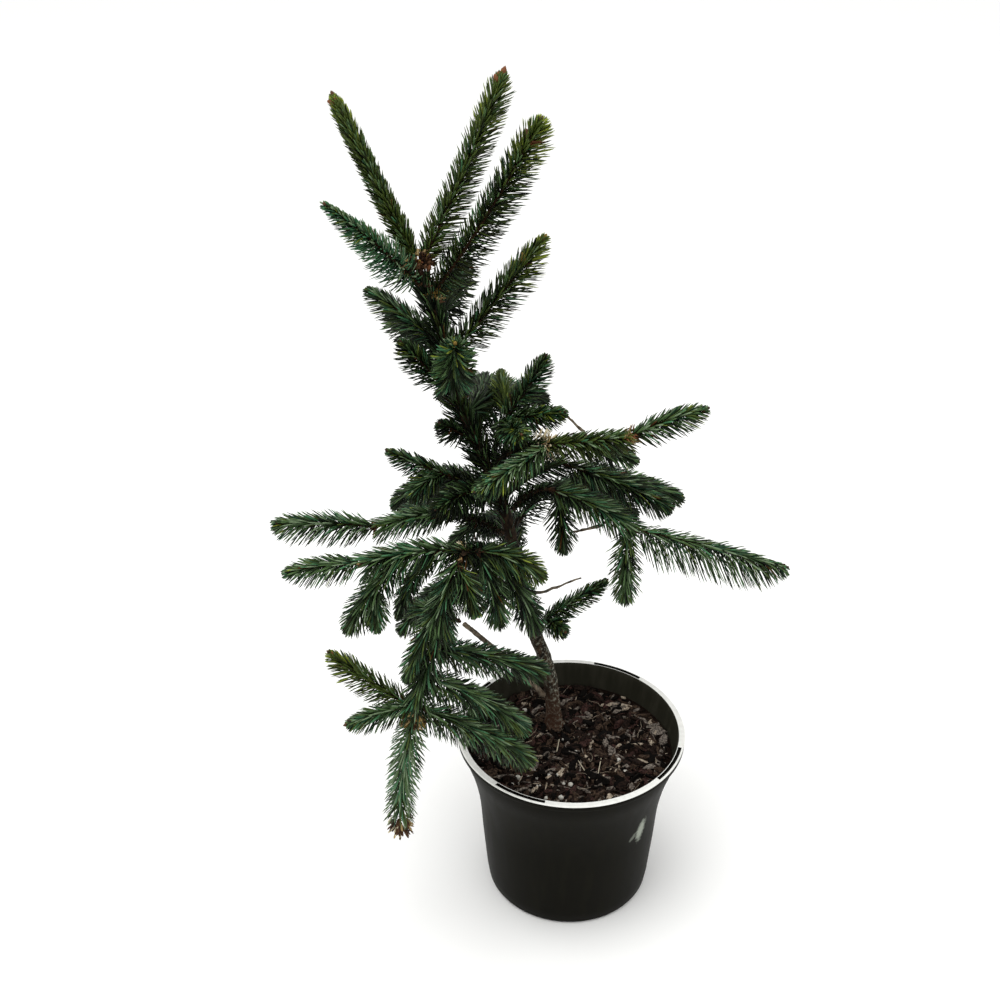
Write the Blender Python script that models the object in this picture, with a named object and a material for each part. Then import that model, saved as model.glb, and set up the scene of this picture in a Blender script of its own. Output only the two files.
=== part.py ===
"""Young weeping spruce in a round flared nursery pot.

Metres, +Z up.  The pot's axis is x = y = 0 and its flat underside is z = 0.
The trunk leans towards -X, and -Y is the side the plant is shown from.
Sizes in the tables are millimetres and degrees.
"""
import math
import random

import bpy
import bmesh
import numpy as np
from mathutils import Vector

MM = 0.001
CLEAR = 0.3            # gap kept between two nodes that meet
SEED = 5

# ---------------------------------------------------------------- pot
POT_SIDES = 40
FLOOR = 3              # thickness of the pot's floor
POT_OUTER = (          # height, outer radius
    (0, 80.5), (4, 82.6), (30, 85.5), (70, 89.0), (100, 91.0), (125, 94.6),
    (145, 99.5), (160, 104.8), (172, 109.0), (180, 111.0), (188, 112.5),
)
POT_INNER = (          # height, inner radius, from the rim to the floor
    (188, 106.2), (184, 105.8), (172, 105.0), (160, 101.8), (145, 97.0), (125, 92.2),
    (100, 88.6), (70, 86.6), (30, 83.1), (FLOOR, 80.4),
)
COMPOST_TOP = 163.0
WALL_GAP = 0.05        # kept beside CLEAR between the compost and the pot's facets
POT_PAINT = ("22231f", 0.45)           # colour and roughness
COMPOST_PAINT = ("2c211b", 0.95)

# ---------------------------------------------------------------- trunk
TRUNK_SIDES = 9
TRUNK_FOOT = COMPOST_TOP + CLEAR
TRUNK_TOP = 683.0
TRUNK_WAY = (          # height, x: it curves over towards -X
    (163, -15), (232, -22), (296, -40), (373, -56), (437, -69), (494, -89), (549, -110),
    (613, -122), (683, -142),
)
TRUNK_BACK = (36.0, 20.0)      # y at the foot and at the top
TRUNK_DIA = (14.5, 5.6)        # diameter above the root flare and at the top
FLARE = 8.5                    # what the root flare adds to the diameter at ground level
FLARE_RISE = 7.0               # height in which the flare dies away
FLARE_LEVELS = (0, 4, 10, 19, 32)
TRUNK_STEP = 27.0              # height from ring to ring above the flare
TRUNK_TAPER = 1.6              # above 1 the trunk tapers faster towards its top
TRUNK_TURN = 0.1               # by which its rings are turned
TRUNK_PAINT = ("5a4a3c", 0.85)

# ---------------------------------------------------------------- boughs
# name, height on the trunk, heading (anticlockwise from +X), rise, length, bow,
# foot diameter, tip diameter
BOUGH_SIDES = 6
BOUGH_STEPS = 4
BOUGH_TURN = 0.2
BOUGH_PAINT = ("4d4036", 0.85)
BOUGHS = (
    ("bough_right_crest", 470, 62, 65, 45, 0, 5.4, 4.6),
    ("bough_right_high", 470, -47, 41, 85, 8, 6.4, 4.6),
    ("bough_right_middle", 440, 21, 25, 65, 6, 6.0, 4.6),
    ("bough_right_long", 418, -41, 49, 70, 6, 6.6, 4.8),
    ("bough_left_high", 430, -163, 42, 65, 0, 5.6, 4.6),
    ("bough_left_long", 395, -142, 40, 87, 3, 6.2, 4.6),
    ("bough_front", 350, -113, 40, 170, 10, 8.0, 5.2),
    ("bough_low_left", 190, -148, 54, 175, 2, 6.4, 4.6),
    ("bough_rear_high", 500, 85, 22, 55, 3, 5.6, 4.6),
    ("bough_rear_left", 432, 130, 10, 55, 3, 6.0, 4.6),
    ("bough_rear_right", 405, 50, 18, 60, 3, 6.2, 4.6),
    ("bough_rear_middle", 362, 100, 14, 65, 3, 6.4, 4.6),
    ("bough_rear_low", 320, 150, 12, 55, 3, 6.0, 4.6),
)

# ---------------------------------------------------------------- masses of needles
# Each mass is a stem and its side shoots.  A stem says where it meets its bough (a share
# of the bough's length) or the trunk (a height); a side shoot says which shoot of the
# same mass it grows from and how far along.  Then heading, rise, length, bow, coat.
# A coat is a needle's length, its angle from the shoot and how far it leans downwards.
FULL = (24.0, 54, 0.15)
SHORT = (20.0, 50, 0.15)
NARROW = (17.0, 32, 0.0)
HANGING = (30.0, 52, 0.75)
MASSES = (
    ("mass_top_left", "trunk", (
        (None, TRUNK_TOP, -162, 67, 161, 0, NARROW),)),
    ("mass_top_centre", "trunk", (
        (None, 676, 23, 64, 175, -3, SHORT),)),
    ("mass_top_right", "trunk", (
        (None, 648, -13, 60, 189, -4, FULL),)),
    ("mass_upper_left", "trunk", (
        (None, 655, -145, 47, 135, 2, FULL),)),
    ("mass_left_short", "trunk", (
        (None, 600, 158, 31, 84, 2, SHORT),)),
    ("mass_left_stub", "trunk", (
        (None, 548, -162, 53, 80, 0, SHORT),)),
    ("mass_front_tuft", "trunk", (
        (None, 562, -86, 47, 105, 0, FULL),)),
    ("mass_upper_right", "trunk", (
        (None, 588, 17, 50, 136, -1, FULL),)),
    ("mass_upper_rear", "trunk", (
        (None, 625, 78, 6, 105, 2, FULL),)),
    ("mass_upper_rear_left", "trunk", (
        (None, 590, 122, 2, 100, 2, FULL),)),
    ("mass_middle_rear", "trunk", (
        (None, 530, 66, -8, 96, 3, FULL),)),
    ("mass_middle_left", "trunk", (
        (None, 505, -143, 39, 48, 0, SHORT),)),
    ("mass_inner_left", "trunk", (
        (None, 452, -125, 16, 95, 6, FULL),)),
    ("mass_right_crest", "bough_right_crest", (
        (None, 1.0, 0, 60, 80, -2, SHORT),
        (0, 0.14, 97, 27, 50, 0, SHORT),
        (0, 0.10, -33, 23, 66, 0, SHORT),
        (0, 0.06, -78, 21, 80, 0, SHORT))),
    ("mass_right_high", "bough_right_high", (
        (None, 1.0, -18, 16, 85, 0, FULL),
        (0, 0.97, -5, 26, 70, 2, SHORT),
        (0, 0.35, 12, -22, 64, 2, SHORT),
        (0, 0.12, -135, -5, 90, 0, SHORT))),
    ("mass_right_middle", "bough_right_middle", (
        (None, 1.0, -22, -12, 110, 4, FULL),
        (0, 0.15, 19, -26, 120, 2, FULL))),
    ("mass_right_long", "bough_right_long", (
        (None, 1.0, -17, -19, 90, 6, FULL),
        (0, 0.12, -69, -73, 56, 4, FULL),
        (0, 0.97, -9, -11, 140, 1, HANGING),
        (0, 0.90, -93, -81, 76, 3, FULL))),
    ("mass_right_low", "trunk", (
        (None, 290, -3, 40, 90, 0, SHORT),
        (0, 0.15, -58, 15, 36, 2, SHORT))),
    ("mass_left_high", "bough_left_high", (
        (None, 1.0, -167, 31, 68, -1, SHORT),
        (0, 0.15, -137, -11, 40, 4, FULL))),
    ("mass_left_long", "bough_left_long", (
        (None, 1.0, -164, -2, 73, 3, FULL),
        (0, 0.97, -167, 10, 92, 2, FULL),
        (0, 0.10, 128, -23, 74, 2, SHORT))),
    ("mass_front_left", "bough_front", (
        (None, 0.92, -158, 7, 100, 6, FULL),
        (0, 0.97, -171, -2, 66, 2, FULL),
        (0, 0.58, -169, -53, 91, 5, FULL),
        (2, 0.45, -96, -81, 42, 2, SHORT),
        (0, 0.30, 174, -63, 83, 6, SHORT))),
    ("mass_front_right", "bough_front", (
        (None, 0.92, 3, -24, 70, 9, FULL),
        (0, 0.25, 23, -65, 105, 4, FULL),
        (0, 0.08, -21, -74, 75, 4, FULL))),
    ("mass_front_hanging", "bough_front", (
        (None, 1.0, -122, -59, 80, 12, FULL),
        (0, 0.97, -156, -72, 80, 4, FULL),
        (1, 0.12, 36, -33, 145, 2, FULL),
        (1, 0.50, 26, -43, 139, 6, FULL),
        (1, 0.94, 168, 34, 90, -1, FULL),
        (1, 0.88, -160, -3, 61, 2, SHORT),
        (1, 0.97, 180, -83, 145, 4, FULL),
        (1, 0.91, 20, -40, 144, 5, FULL),
        (0, 0.55, -146, -60, 78, 3, SHORT),
        (0, 0.14, -63, -38, 45, 4, FULL))),
    ("mass_low_left", "bough_low_left", (
        (None, 1.0, 153, -1, 65, 6, SHORT),
        (0, 0.20, 134, -74, 60, 6, SHORT))),
    ("mass_rear_high", "bough_rear_high", (
        (None, 1.0, 88, -22, 125, 8, FULL),
        (0, 0.22, 44, -26, 90, 5, FULL),
        (0, 0.40, 126, -28, 85, 5, FULL))),
    ("mass_rear_left", "bough_rear_left", (
        (None, 1.0, 126, -36, 130, 8, FULL),
        (0, 0.22, 156, -38, 80, 5, FULL),
        (0, 0.40, 90, -42, 85, 5, FULL))),
    ("mass_rear_right", "bough_rear_right", (
        (None, 1.0, 52, -30, 135, 8, FULL),
        (0, 0.22, 14, -30, 85, 5, FULL),
        (0, 0.42, 90, -38, 90, 5, FULL))),
    ("mass_rear_middle", "bough_rear_middle", (
        (None, 1.0, 102, -38, 130, 8, FULL),
        (0, 0.22, 76, -44, 85, 5, FULL),
        (0, 0.40, 142, -44, 85, 5, FULL))),
    ("mass_rear_low", "bough_rear_low", (
        (None, 1.0, 146, -44, 120, 8, FULL),
        (0, 0.22, 190, -40, 80, 5, FULL),
        (0, 0.40, 118, -52, 80, 5, FULL))),
)

SHOOT_SIDES = 4
RING_STEP = 9.0        # along a shoot, from one ring of needles to the next
RING_TURN = 27.0       # each ring is turned by this much against the last
STEM_R = 2.3           # radius of a stem at its foot
SIDE_R = 1.1           # and of a side shoot, where it is sunk in its parent
TIP_R = 1.7            # and of any shoot at its tip
BUD = 5.0              # length of the bud that ends a shoot
BARE = 6.0             # length without needles at a stem's foot
TIP_CUT = 0.45         # share of their length that needles lose towards the tip
NEEDLE_HALF = 3.6      # half a needle's width at its root
NEEDLE_VARIES = (0.88, 1.08)   # least and most of the coat's needle length
SWEEP = (1.08, 0.5)    # share of the coat's angle at the foot, and what is lost of it at the tip
LEAN_CUT = 0.8         # share of their length that leaning needles lose on top of a shoot
SCALES = (1.0, 0.86, 0.72, 0.6, 0.48, 0.38)   # lengths tried where there is less room
TESTED = (0.3, 0.55, 0.8, 1.0)                # shares of a needle's length tested for room
MASS_PAINT = ("33482f", 0.6)

# Room that needles keep to: a gap, and the share of the needle's half width added to it
POT_ROOM = (196.0, 124.0)      # height and radius round the pot that stay clear
LIMB_ROOM = (0.9, 0.8)         # from the trunk and boughs
MASS_ROOM = (1.6, 0.8)         # nearer to the own shoot than to another mass
KIN_ROOM = (0.5, 0.3)          # nearer to the own shoot than to another of the same mass
POINT_STEP = 3.0               # between the points that stand for a limb
WELD = 0.01                    # points nearer than this are joined after a union


# ---------------------------------------------------------------- curves
class Limb:
    """A straight run from a point, bowed upwards in its own upright plane."""

    def __init__(self, start, heading, rise, length, bow, foot_r, tip_r):
        h = math.radians(heading)
        r = math.radians(rise)
        self.start = Vector(start)
        self.way = Vector((math.cos(h) * math.cos(r), math.sin(h) * math.cos(r), math.sin(r)))
        self.up = Vector((-math.cos(h) * math.sin(r), -math.sin(h) * math.sin(r), math.cos(r)))
        self.side = Vector((-math.sin(h), math.cos(h), 0.0))
        self.length = length
        self.bow = bow
        self.foot_r = foot_r
        self.tip_r = tip_r
        self.begin = 0.0

    def at(self, t):
        return self.start + self.way * (self.length * t) + self.up * (4 * self.bow * t * (1 - t))

    def tangent(self, t):
        return (self.way * self.length + self.up * (4 * self.bow * (1 - 2 * t))).normalized()

    def radius(self, t):
        return self.foot_r + (self.tip_r - self.foot_r) * t


class Trunk:
    """The trunk's axis, a smooth curve through its way points, asked for by height."""

    def at(self, z):
        last = len(TRUNK_WAY) - 1
        i = max(0, min(last - 1, sum(1 for row in TRUNK_WAY if row[0] <= z) - 1))
        rows = [TRUNK_WAY[max(0, min(last, j))] for j in (i - 1, i, i + 1, i + 2)]
        span = rows[2][0] - rows[1][0]
        u = (z - rows[1][0]) / span
        enter = (rows[2][1] - rows[0][1]) / (rows[2][0] - rows[0][0]) * span
        leave = (rows[3][1] - rows[1][1]) / (rows[3][0] - rows[1][0]) * span
        x = (rows[1][1] * (2 * u ** 3 - 3 * u ** 2 + 1) + enter * (u ** 3 - 2 * u ** 2 + u)
             + rows[2][1] * (3 * u ** 2 - 2 * u ** 3) + leave * (u ** 3 - u ** 2))
        share = (z - TRUNK_FOOT) / (TRUNK_TOP - TRUNK_FOOT)
        return Vector((x, TRUNK_BACK[0] + (TRUNK_BACK[1] - TRUNK_BACK[0]) * share, z))

    def tangent(self, z):
        if z >= TRUNK_TOP:
            return Vector((0, 0, 1))
        return (self.at(z + 4) - self.at(z - 4)).normalized()

    def radius(self, z):
        share = max(0.0, z - TRUNK_FOOT) / (TRUNK_TOP - TRUNK_FOOT)
        taper = TRUNK_DIA[0] + (TRUNK_DIA[1] - TRUNK_DIA[0]) * share ** TRUNK_TAPER
        return (taper + FLARE * math.exp(-(z - TRUNK_FOOT) / FLARE_RISE)) / 2


def set_off(parent, along, limb, tip):
    """Start the limb where its flat foot is CLEAR of the parent's surface or end."""
    way = limb.tangent(0)
    cos = abs(way.dot(parent.tangent(along)))
    sin = math.sqrt(max(0.0, 1 - cos * cos))
    if tip:
        gap = (CLEAR + limb.foot_r * sin) / cos
    else:
        gap = (parent.radius(along) + CLEAR + limb.foot_r * cos) / sin
    limb.begin = gap / limb.length


# ---------------------------------------------------------------- mesh helpers
def new_object(name, verts, faces):
    mesh = bpy.data.meshes.new(name)
    mesh.from_pydata([tuple(c * MM for c in v) for v in verts], [], faces)
    mesh.update()
    obj = bpy.data.objects.new(name, mesh)
    bpy.context.collection.objects.link(obj)
    bm = bmesh.new()
    bm.from_mesh(mesh)
    bmesh.ops.recalc_face_normals(bm, faces=bm.faces)
    bmesh.ops.triangulate(bm, faces=bm.faces)
    bm.to_mesh(mesh)
    bm.free()
    return obj


def paint(obj, hex_rgb, roughness):
    mat = bpy.data.materials.new(obj.name)
    mat.use_nodes = True
    shader = mat.node_tree.nodes["Principled BSDF"]
    rgb = [int(hex_rgb[i:i + 2], 16) / 255 for i in (0, 2, 4)]
    linear = [c / 12.92 if c <= 0.04045 else ((c + 0.055) / 1.055) ** 2.4 for c in rgb]
    shader.inputs["Base Color"].default_value = (*linear, 1.0)
    shader.inputs["Roughness"].default_value = roughness
    obj.data.materials.clear()
    obj.data.materials.append(mat)


def revolve(name, profile, sides):
    """Turn a profile about the Z axis; it starts and ends on the axis."""
    verts = [(0.0, 0.0, profile[0][0])]
    for z, r in profile[1:-1]:
        for k in range(sides):
            a = 2 * math.pi * k / sides
            verts.append((r * math.cos(a), r * math.sin(a), z))
    verts.append((0.0, 0.0, profile[-1][0]))
    last = len(verts) - 1
    rows = len(profile) - 2
    faces = []
    for k in range(sides):
        n = (k + 1) % sides
        faces.append((0, 1 + n, 1 + k))
        for i in range(rows - 1):
            a = 1 + i * sides
            faces.append((a + k, a + n, a + sides + n, a + sides + k))
        a = 1 + (rows - 1) * sides
        faces.append((a + k, a + n, last))
    return new_object(name, verts, faces)


def ring(centre, side, normal, radius, sides, turn):
    out = []
    for k in range(sides):
        a = turn + 2 * math.pi * k / sides
        out.append(centre + side * (radius * math.cos(a)) + normal * (radius * math.sin(a)))
    return out


def skin(rings):
    """Verts and faces of a closed tube through the rings."""
    sides = len(rings[0])
    verts = [v for r in rings for v in r]
    faces = [tuple(reversed(range(sides)))]
    for i in range(len(rings) - 1):
        for k in range(sides):
            n = (k + 1) % sides
            a = i * sides
            faces.append((a + k, a + n, a + sides + n, a + sides + k))
    top = (len(rings) - 1) * sides
    faces.append(tuple(range(top, top + sides)))
    return verts, faces


# ---------------------------------------------------------------- the solids
def make_pot():
    profile = [(0, 0)] + list(POT_OUTER) + list(POT_INNER) + [(FLOOR, 0)]
    pot = revolve("pot", profile, POT_SIDES)
    paint(pot, *POT_PAINT)


def make_compost():
    inner = sorted(POT_INNER)
    heights = [z for z, _ in inner]
    radii = [r for _, r in inner]
    floor = inner[0][0] + CLEAR
    levels = [floor] + [z for z in heights if floor < z < COMPOST_TOP] + [COMPOST_TOP]
    profile = [(floor, 0)]
    for z in levels:
        profile.append((z, float(np.interp(z, heights, radii)) - CLEAR - WALL_GAP))
    profile.append((COMPOST_TOP, 0))
    compost = revolve("compost", profile, POT_SIDES)
    paint(compost, *COMPOST_PAINT)


def make_trunk(trunk):
    levels = [TRUNK_FOOT + rise for rise in FLARE_LEVELS]
    steps = round((TRUNK_TOP - levels[-1]) / TRUNK_STEP)
    levels += list(np.linspace(levels[-1], TRUNK_TOP, steps + 1))[1:]
    rings = []
    for z in levels:
        flat = (Vector((1, 0, 0)), Vector((0, 1, 0)))
        rings.append(ring(trunk.at(z), *flat, trunk.radius(z), TRUNK_SIDES, TRUNK_TURN))
    paint(new_object("trunk", *skin(rings)), *TRUNK_PAINT)


def make_bough(name, limb):
    rings = []
    for i in range(BOUGH_STEPS + 1):
        t = limb.begin + (1 - limb.begin) * i / BOUGH_STEPS
        normal = limb.side.cross(limb.tangent(t))
        rings.append(ring(limb.at(t), limb.side, normal, limb.radius(t), BOUGH_SIDES, BOUGH_TURN))
    paint(new_object(name, *skin(rings)), *BOUGH_PAINT)


# ---------------------------------------------------------------- room for needles
class Room:
    """Points along every limb and shoot, to see which one a needle's points are nearest to."""

    def __init__(self):
        self.limb_points = []
        self.limb_radii = []
        self.shoot_points = []
        self.shoot_mass = []
        self.shoot_id = []

    def add_limb(self, points, radii):
        self.limb_points.extend(points)
        self.limb_radii.extend(radii)

    def add_shoot(self, points, mass, number):
        self.shoot_points.extend(points)
        self.shoot_mass.extend([mass] * len(points))
        self.shoot_id.extend([number] * len(points))

    def close(self):
        self.limb_points = np.array(self.limb_points)
        self.limb_radii = np.array(self.limb_radii)
        self.shoot_points = np.array(self.shoot_points)
        self.shoot_mass = np.array(self.shoot_mass)
        self.shoot_id = np.array(self.shoot_id)

    def free(self, point, mass, number, half):
        p = np.array(point)
        if point.z < POT_ROOM[0] and math.hypot(point.x, point.y) < POT_ROOM[1]:
            return False
        gaps = np.linalg.norm(self.limb_points - p, axis=1) - self.limb_radii
        if gaps.min() < LIMB_ROOM[0] + LIMB_ROOM[1] * half:
            return False
        away = np.linalg.norm(self.shoot_points - p, axis=1)
        own = away[self.shoot_id == number].min()
        other = away[self.shoot_mass != mass].min()
        if other - own < MASS_ROOM[0] + MASS_ROOM[1] * half:
            return False
        kin = away[(self.shoot_mass == mass) & (self.shoot_id != number)]
        return kin.size == 0 or kin.min() - own > KIN_ROOM[0] + KIN_ROOM[1] * half


def needle(base, way, length, room, mass, number):
    """The tip of a needle, shortened until it keeps to its own room, or None."""
    for scale in SCALES:
        reach = way * (length * scale)
        if all(room.free(base + reach * f, mass, number, NEEDLE_HALF * (1 - f))
               for f in TESTED):
            return base + reach
    return None


def make_shoot(name, limb, coat, room, mass, number, rng):
    """A slim four-sided core whose faces are drawn out into needles."""
    length, angle, lean = coat
    run = limb.length * (1 - limb.begin)
    steps = max(3, round(run / RING_STEP))
    rings = []
    ts = []
    for i in range(steps + 1):
        t = limb.begin + (1 - limb.begin) * i / steps
        ts.append(t)
        normal = limb.side.cross(limb.tangent(t))
        turn = math.radians(RING_TURN) * i
        rings.append(ring(limb.at(t), limb.side, normal, limb.radius(t), SHOOT_SIDES, turn))
    verts = [v for r in rings for v in r]
    faces = [tuple(reversed(range(SHOOT_SIDES)))]
    for i in range(steps):
        for k in range(SHOOT_SIDES):
            n = (k + 1) % SHOOT_SIDES
            a = i * SHOOT_SIDES
            quad = (a + k, a + n, a + SHOOT_SIDES + n, a + SHOOT_SIDES + k)
            middle = (ts[i] + ts[i + 1]) / 2
            share = (middle - limb.begin) / (1 - limb.begin)
            base = sum((verts[j] for j in quad), Vector()) / 4
            outward = (base - limb.at(middle)).normalized()
            sweep = math.radians(angle * (SWEEP[0] - SWEEP[1] * share ** 3))
            way = outward * math.sin(sweep) + limb.tangent(middle) * math.cos(sweep)
            lift = max(0.0, outward.z)
            way = (way + Vector((0, 0, lean * (lift - 1)))).normalized()
            size = length * rng.uniform(*NEEDLE_VARIES) * (1 - TIP_CUT * share ** 6)
            size *= 1 - LEAN_CUT * lean * lift
            tip = None
            if share * run > BARE:
                tip = needle(base, way, size, room, mass, number)
            if tip is None:
                faces.append(quad)
                continue
            verts.append(tip)
            top = len(verts) - 1
            for j in range(4):
                faces.append((quad[j], quad[(j + 1) % 4], top))
    verts.append(limb.at(1) + limb.tangent(1) * BUD)
    top = len(verts) - 1
    a = steps * SHOOT_SIDES
    for k in range(SHOOT_SIDES):
        faces.append((a + k, a + (k + 1) % SHOOT_SIDES, top))
    return new_object(name, verts, faces)


def join_mass(objs):
    """One union of a mass's shoots, applied, with the side shoots then removed."""
    stem = objs[0]
    if len(objs) == 1:
        return stem
    sides = bpy.data.collections.new(stem.name + "_sides")
    bpy.context.scene.collection.children.link(sides)
    for obj in objs[1:]:
        for coll in list(obj.users_collection):
            coll.objects.unlink(obj)
        sides.objects.link(obj)
    union = stem.modifiers.new("union", "BOOLEAN")
    union.operation = "UNION"
    union.operand_type = "COLLECTION"
    union.collection = sides
    union.solver = "EXACT"
    bpy.context.view_layer.objects.active = stem
    bpy.ops.object.modifier_apply(modifier=union.name)
    for obj in list(sides.objects):
        bpy.data.objects.remove(obj)
    bpy.data.collections.remove(sides)
    bm = bmesh.new()
    bm.from_mesh(stem.data)
    bmesh.ops.remove_doubles(bm, verts=bm.verts, dist=WELD * MM)
    bmesh.ops.triangulate(bm, faces=bm.faces)
    bm.to_mesh(stem.data)
    bm.free()
    return stem


def main():
    for obj in list(bpy.data.objects):
        bpy.data.objects.remove(obj)
    rng = random.Random(SEED)
    make_pot()
    make_compost()
    trunk = Trunk()
    make_trunk(trunk)

    limbs = {"trunk": trunk}
    room = Room()
    levels = np.arange(TRUNK_FOOT, TRUNK_TOP + 1, POINT_STEP)
    room.add_limb([tuple(trunk.at(z)) for z in levels], [trunk.radius(z) for z in levels])
    for name, height, heading, rise, length, bow, foot, tip in BOUGHS:
        limb = Limb(trunk.at(height), heading, rise, length, bow, foot / 2, tip / 2)
        set_off(trunk, height, limb, False)
        limbs[name] = limb
        make_bough(name, limb)
        ts = np.linspace(limb.begin, 1, round(length / POINT_STEP))
        room.add_limb([tuple(limb.at(t)) for t in ts], [limb.radius(t) for t in ts])

    masses = []
    number = 0
    for mass, (name, holder, rows) in enumerate(MASSES):
        shoots = []
        for parent, along, heading, rise, length, bow, coat in rows:
            stem = limbs[holder] if parent is None else shoots[parent][0]
            foot = STEM_R if parent is None else SIDE_R
            limb = Limb(stem.at(along), heading, rise, length, bow, foot, TIP_R)
            if parent is None:
                set_off(stem, along, limb, along in (1.0, TRUNK_TOP))
            ts = np.linspace(limb.begin, 1, round(length / POINT_STEP))
            room.add_shoot([tuple(limb.at(t)) for t in ts], mass, number)
            shoots.append((limb, coat, number))
            number += 1
        masses.append((name, mass, shoots))
    room.close()

    for name, mass, shoots in masses:
        objs = []
        for limb, coat, number in shoots:
            objs.append(make_shoot(name, limb, coat, room, mass, number, rng))
        stem = join_mass(objs)
        stem.name = name
        stem.data.name = name
        paint(stem, *MASS_PAINT)


main()
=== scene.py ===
"""Looks of a young weeping spruce in a round flared nursery pot.

Metres, +Z up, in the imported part's frame: the pot's axis is x = y = 0 and its underside z = 0.
The tables are millimetres and degrees.  The rules for the trunk, the boughs and the shoots are
those of the part's source, written again and carried on to life-size needles.
"""

import math

import bmesh
import bpy
import numpy as np
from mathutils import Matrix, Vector, noise


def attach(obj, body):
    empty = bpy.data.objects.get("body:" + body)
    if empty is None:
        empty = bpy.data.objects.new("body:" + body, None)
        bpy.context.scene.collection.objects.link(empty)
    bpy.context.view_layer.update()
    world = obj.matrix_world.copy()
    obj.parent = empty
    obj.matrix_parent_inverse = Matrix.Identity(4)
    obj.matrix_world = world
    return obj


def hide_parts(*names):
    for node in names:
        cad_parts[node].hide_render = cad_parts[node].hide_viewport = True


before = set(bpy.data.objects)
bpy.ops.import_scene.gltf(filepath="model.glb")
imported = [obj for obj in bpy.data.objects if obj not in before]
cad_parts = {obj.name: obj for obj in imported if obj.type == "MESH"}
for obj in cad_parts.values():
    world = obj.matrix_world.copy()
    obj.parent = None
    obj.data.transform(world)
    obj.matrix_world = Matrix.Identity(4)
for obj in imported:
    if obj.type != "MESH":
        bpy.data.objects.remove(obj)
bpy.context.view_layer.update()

MM = 0.001
CLEAR = 0.3  # gap between two limbs that meet, as in the part
SEED = 11

# ---- pot and compost
POT_SIDES = 144
POT_OUTER = (  # height, outer radius, from the underside up to the flange
    (0, 79.3), (1.2, 80.8), (4, 82.4), (16, 84.2), (30, 85.5), (50, 87.3), (70, 89.0), (88, 90.2),
    (100, 91.2), (112, 92.7), (125, 95.1), (135, 97.3), (145, 99.9), (153, 102.3), (160, 104.7),
    (167, 106.9), (172, 108.0), (177, 108.9), (181, 109.5),
)
FLANGE = (  # height, radius: the flange stands proud of the wall under it
    (181.2, 110.2), (181.2, 113.0), (181.8, 113.4), (186.8, 113.6), (187.6, 113.2),
)
BAND_TOP = 188.0  # the rim's flat top: its height, outer and inner radius
BAND_OUTER = 112.4
BAND_INNER = 107.7
BAND_FOOT = 186.8  # height from which the flange's outer face carries the rim top's painted highlight
POT_INNER = (  # height, inner radius, from the rim to the floor
    (187.6, 107.3), (186, 106.6), (180, 105.6), (172, 104.9), (160, 101.8), (145, 97.0),
    (125, 92.2), (100, 88.6), (70, 86.6), (30, 83.1), (3, 80.4),
)
SLOT_FIRST = 61.0  # bearing of the middle of the first slot in the rim
SLOTS = 4
SLOT_SPAN = 27.0  # degrees from end to end
SLOT_EDGE = 0.55  # width of the lip, with its painted highlight, left beside a slot
SLOT_DEPTH = 2.0
COMPOST_TOP = 163.0
BED_GAP = 0.35  # between the compost and the pot's wall

# ---- trunk
TRUNK_FOOT = COMPOST_TOP + CLEAR
TRUNK_TOP = 683.0
TRUNK_WAY = (  # height, x: it curves over towards -X
    (163, -15), (232, -22), (296, -40), (373, -56), (437, -69), (494, -89), (549, -110),
    (613, -122), (683, -142),
)
TRUNK_BACK = (36.0, 20.0)  # y at the foot and at the top
TRUNK_DIA = (14.5, 5.6)  # diameter above the root flare and at the top
TRUNK_TAPER = 1.6  # above 1 the trunk tapers faster towards its top
FLARE = 8.5  # what the root flare adds to the diameter at ground level
FLARE_RISE = 7.0  # height in which the flare dies away

# ---- boughs
# name, height on the trunk, heading (anticlockwise from +X), rise, length, bow,
# foot diameter, tip diameter
BOUGHS = (
    ("right_crest", 470, 62, 65, 45, 0, 5.4, 4.6),
    ("right_high", 470, -47, 41, 85, 8, 6.4, 4.6),
    ("right_middle", 440, 21, 25, 65, 6, 6.0, 4.6),
    ("right_long", 418, -41, 49, 70, 6, 6.6, 4.8),
    ("left_high", 430, -163, 42, 65, 0, 5.6, 4.6),
    ("left_long", 395, -142, 40, 87, 3, 6.2, 4.6),
    ("front", 350, -113, 40, 170, 10, 8.0, 5.2),
    ("low_left", 190, -148, 54, 175, 2, 6.4, 4.6),
    ("rear_high", 500, 85, 22, 55, 3, 5.6, 4.6),
    ("rear_left", 432, 130, 10, 55, 3, 6.0, 4.6),
    ("rear_right", 405, 50, 18, 60, 3, 6.2, 4.6),
    ("rear_middle", 362, 100, 14, 65, 3, 6.4, 4.6),
    ("rear_low", 320, 150, 12, 55, 3, 6.0, 4.6),
)

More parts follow.
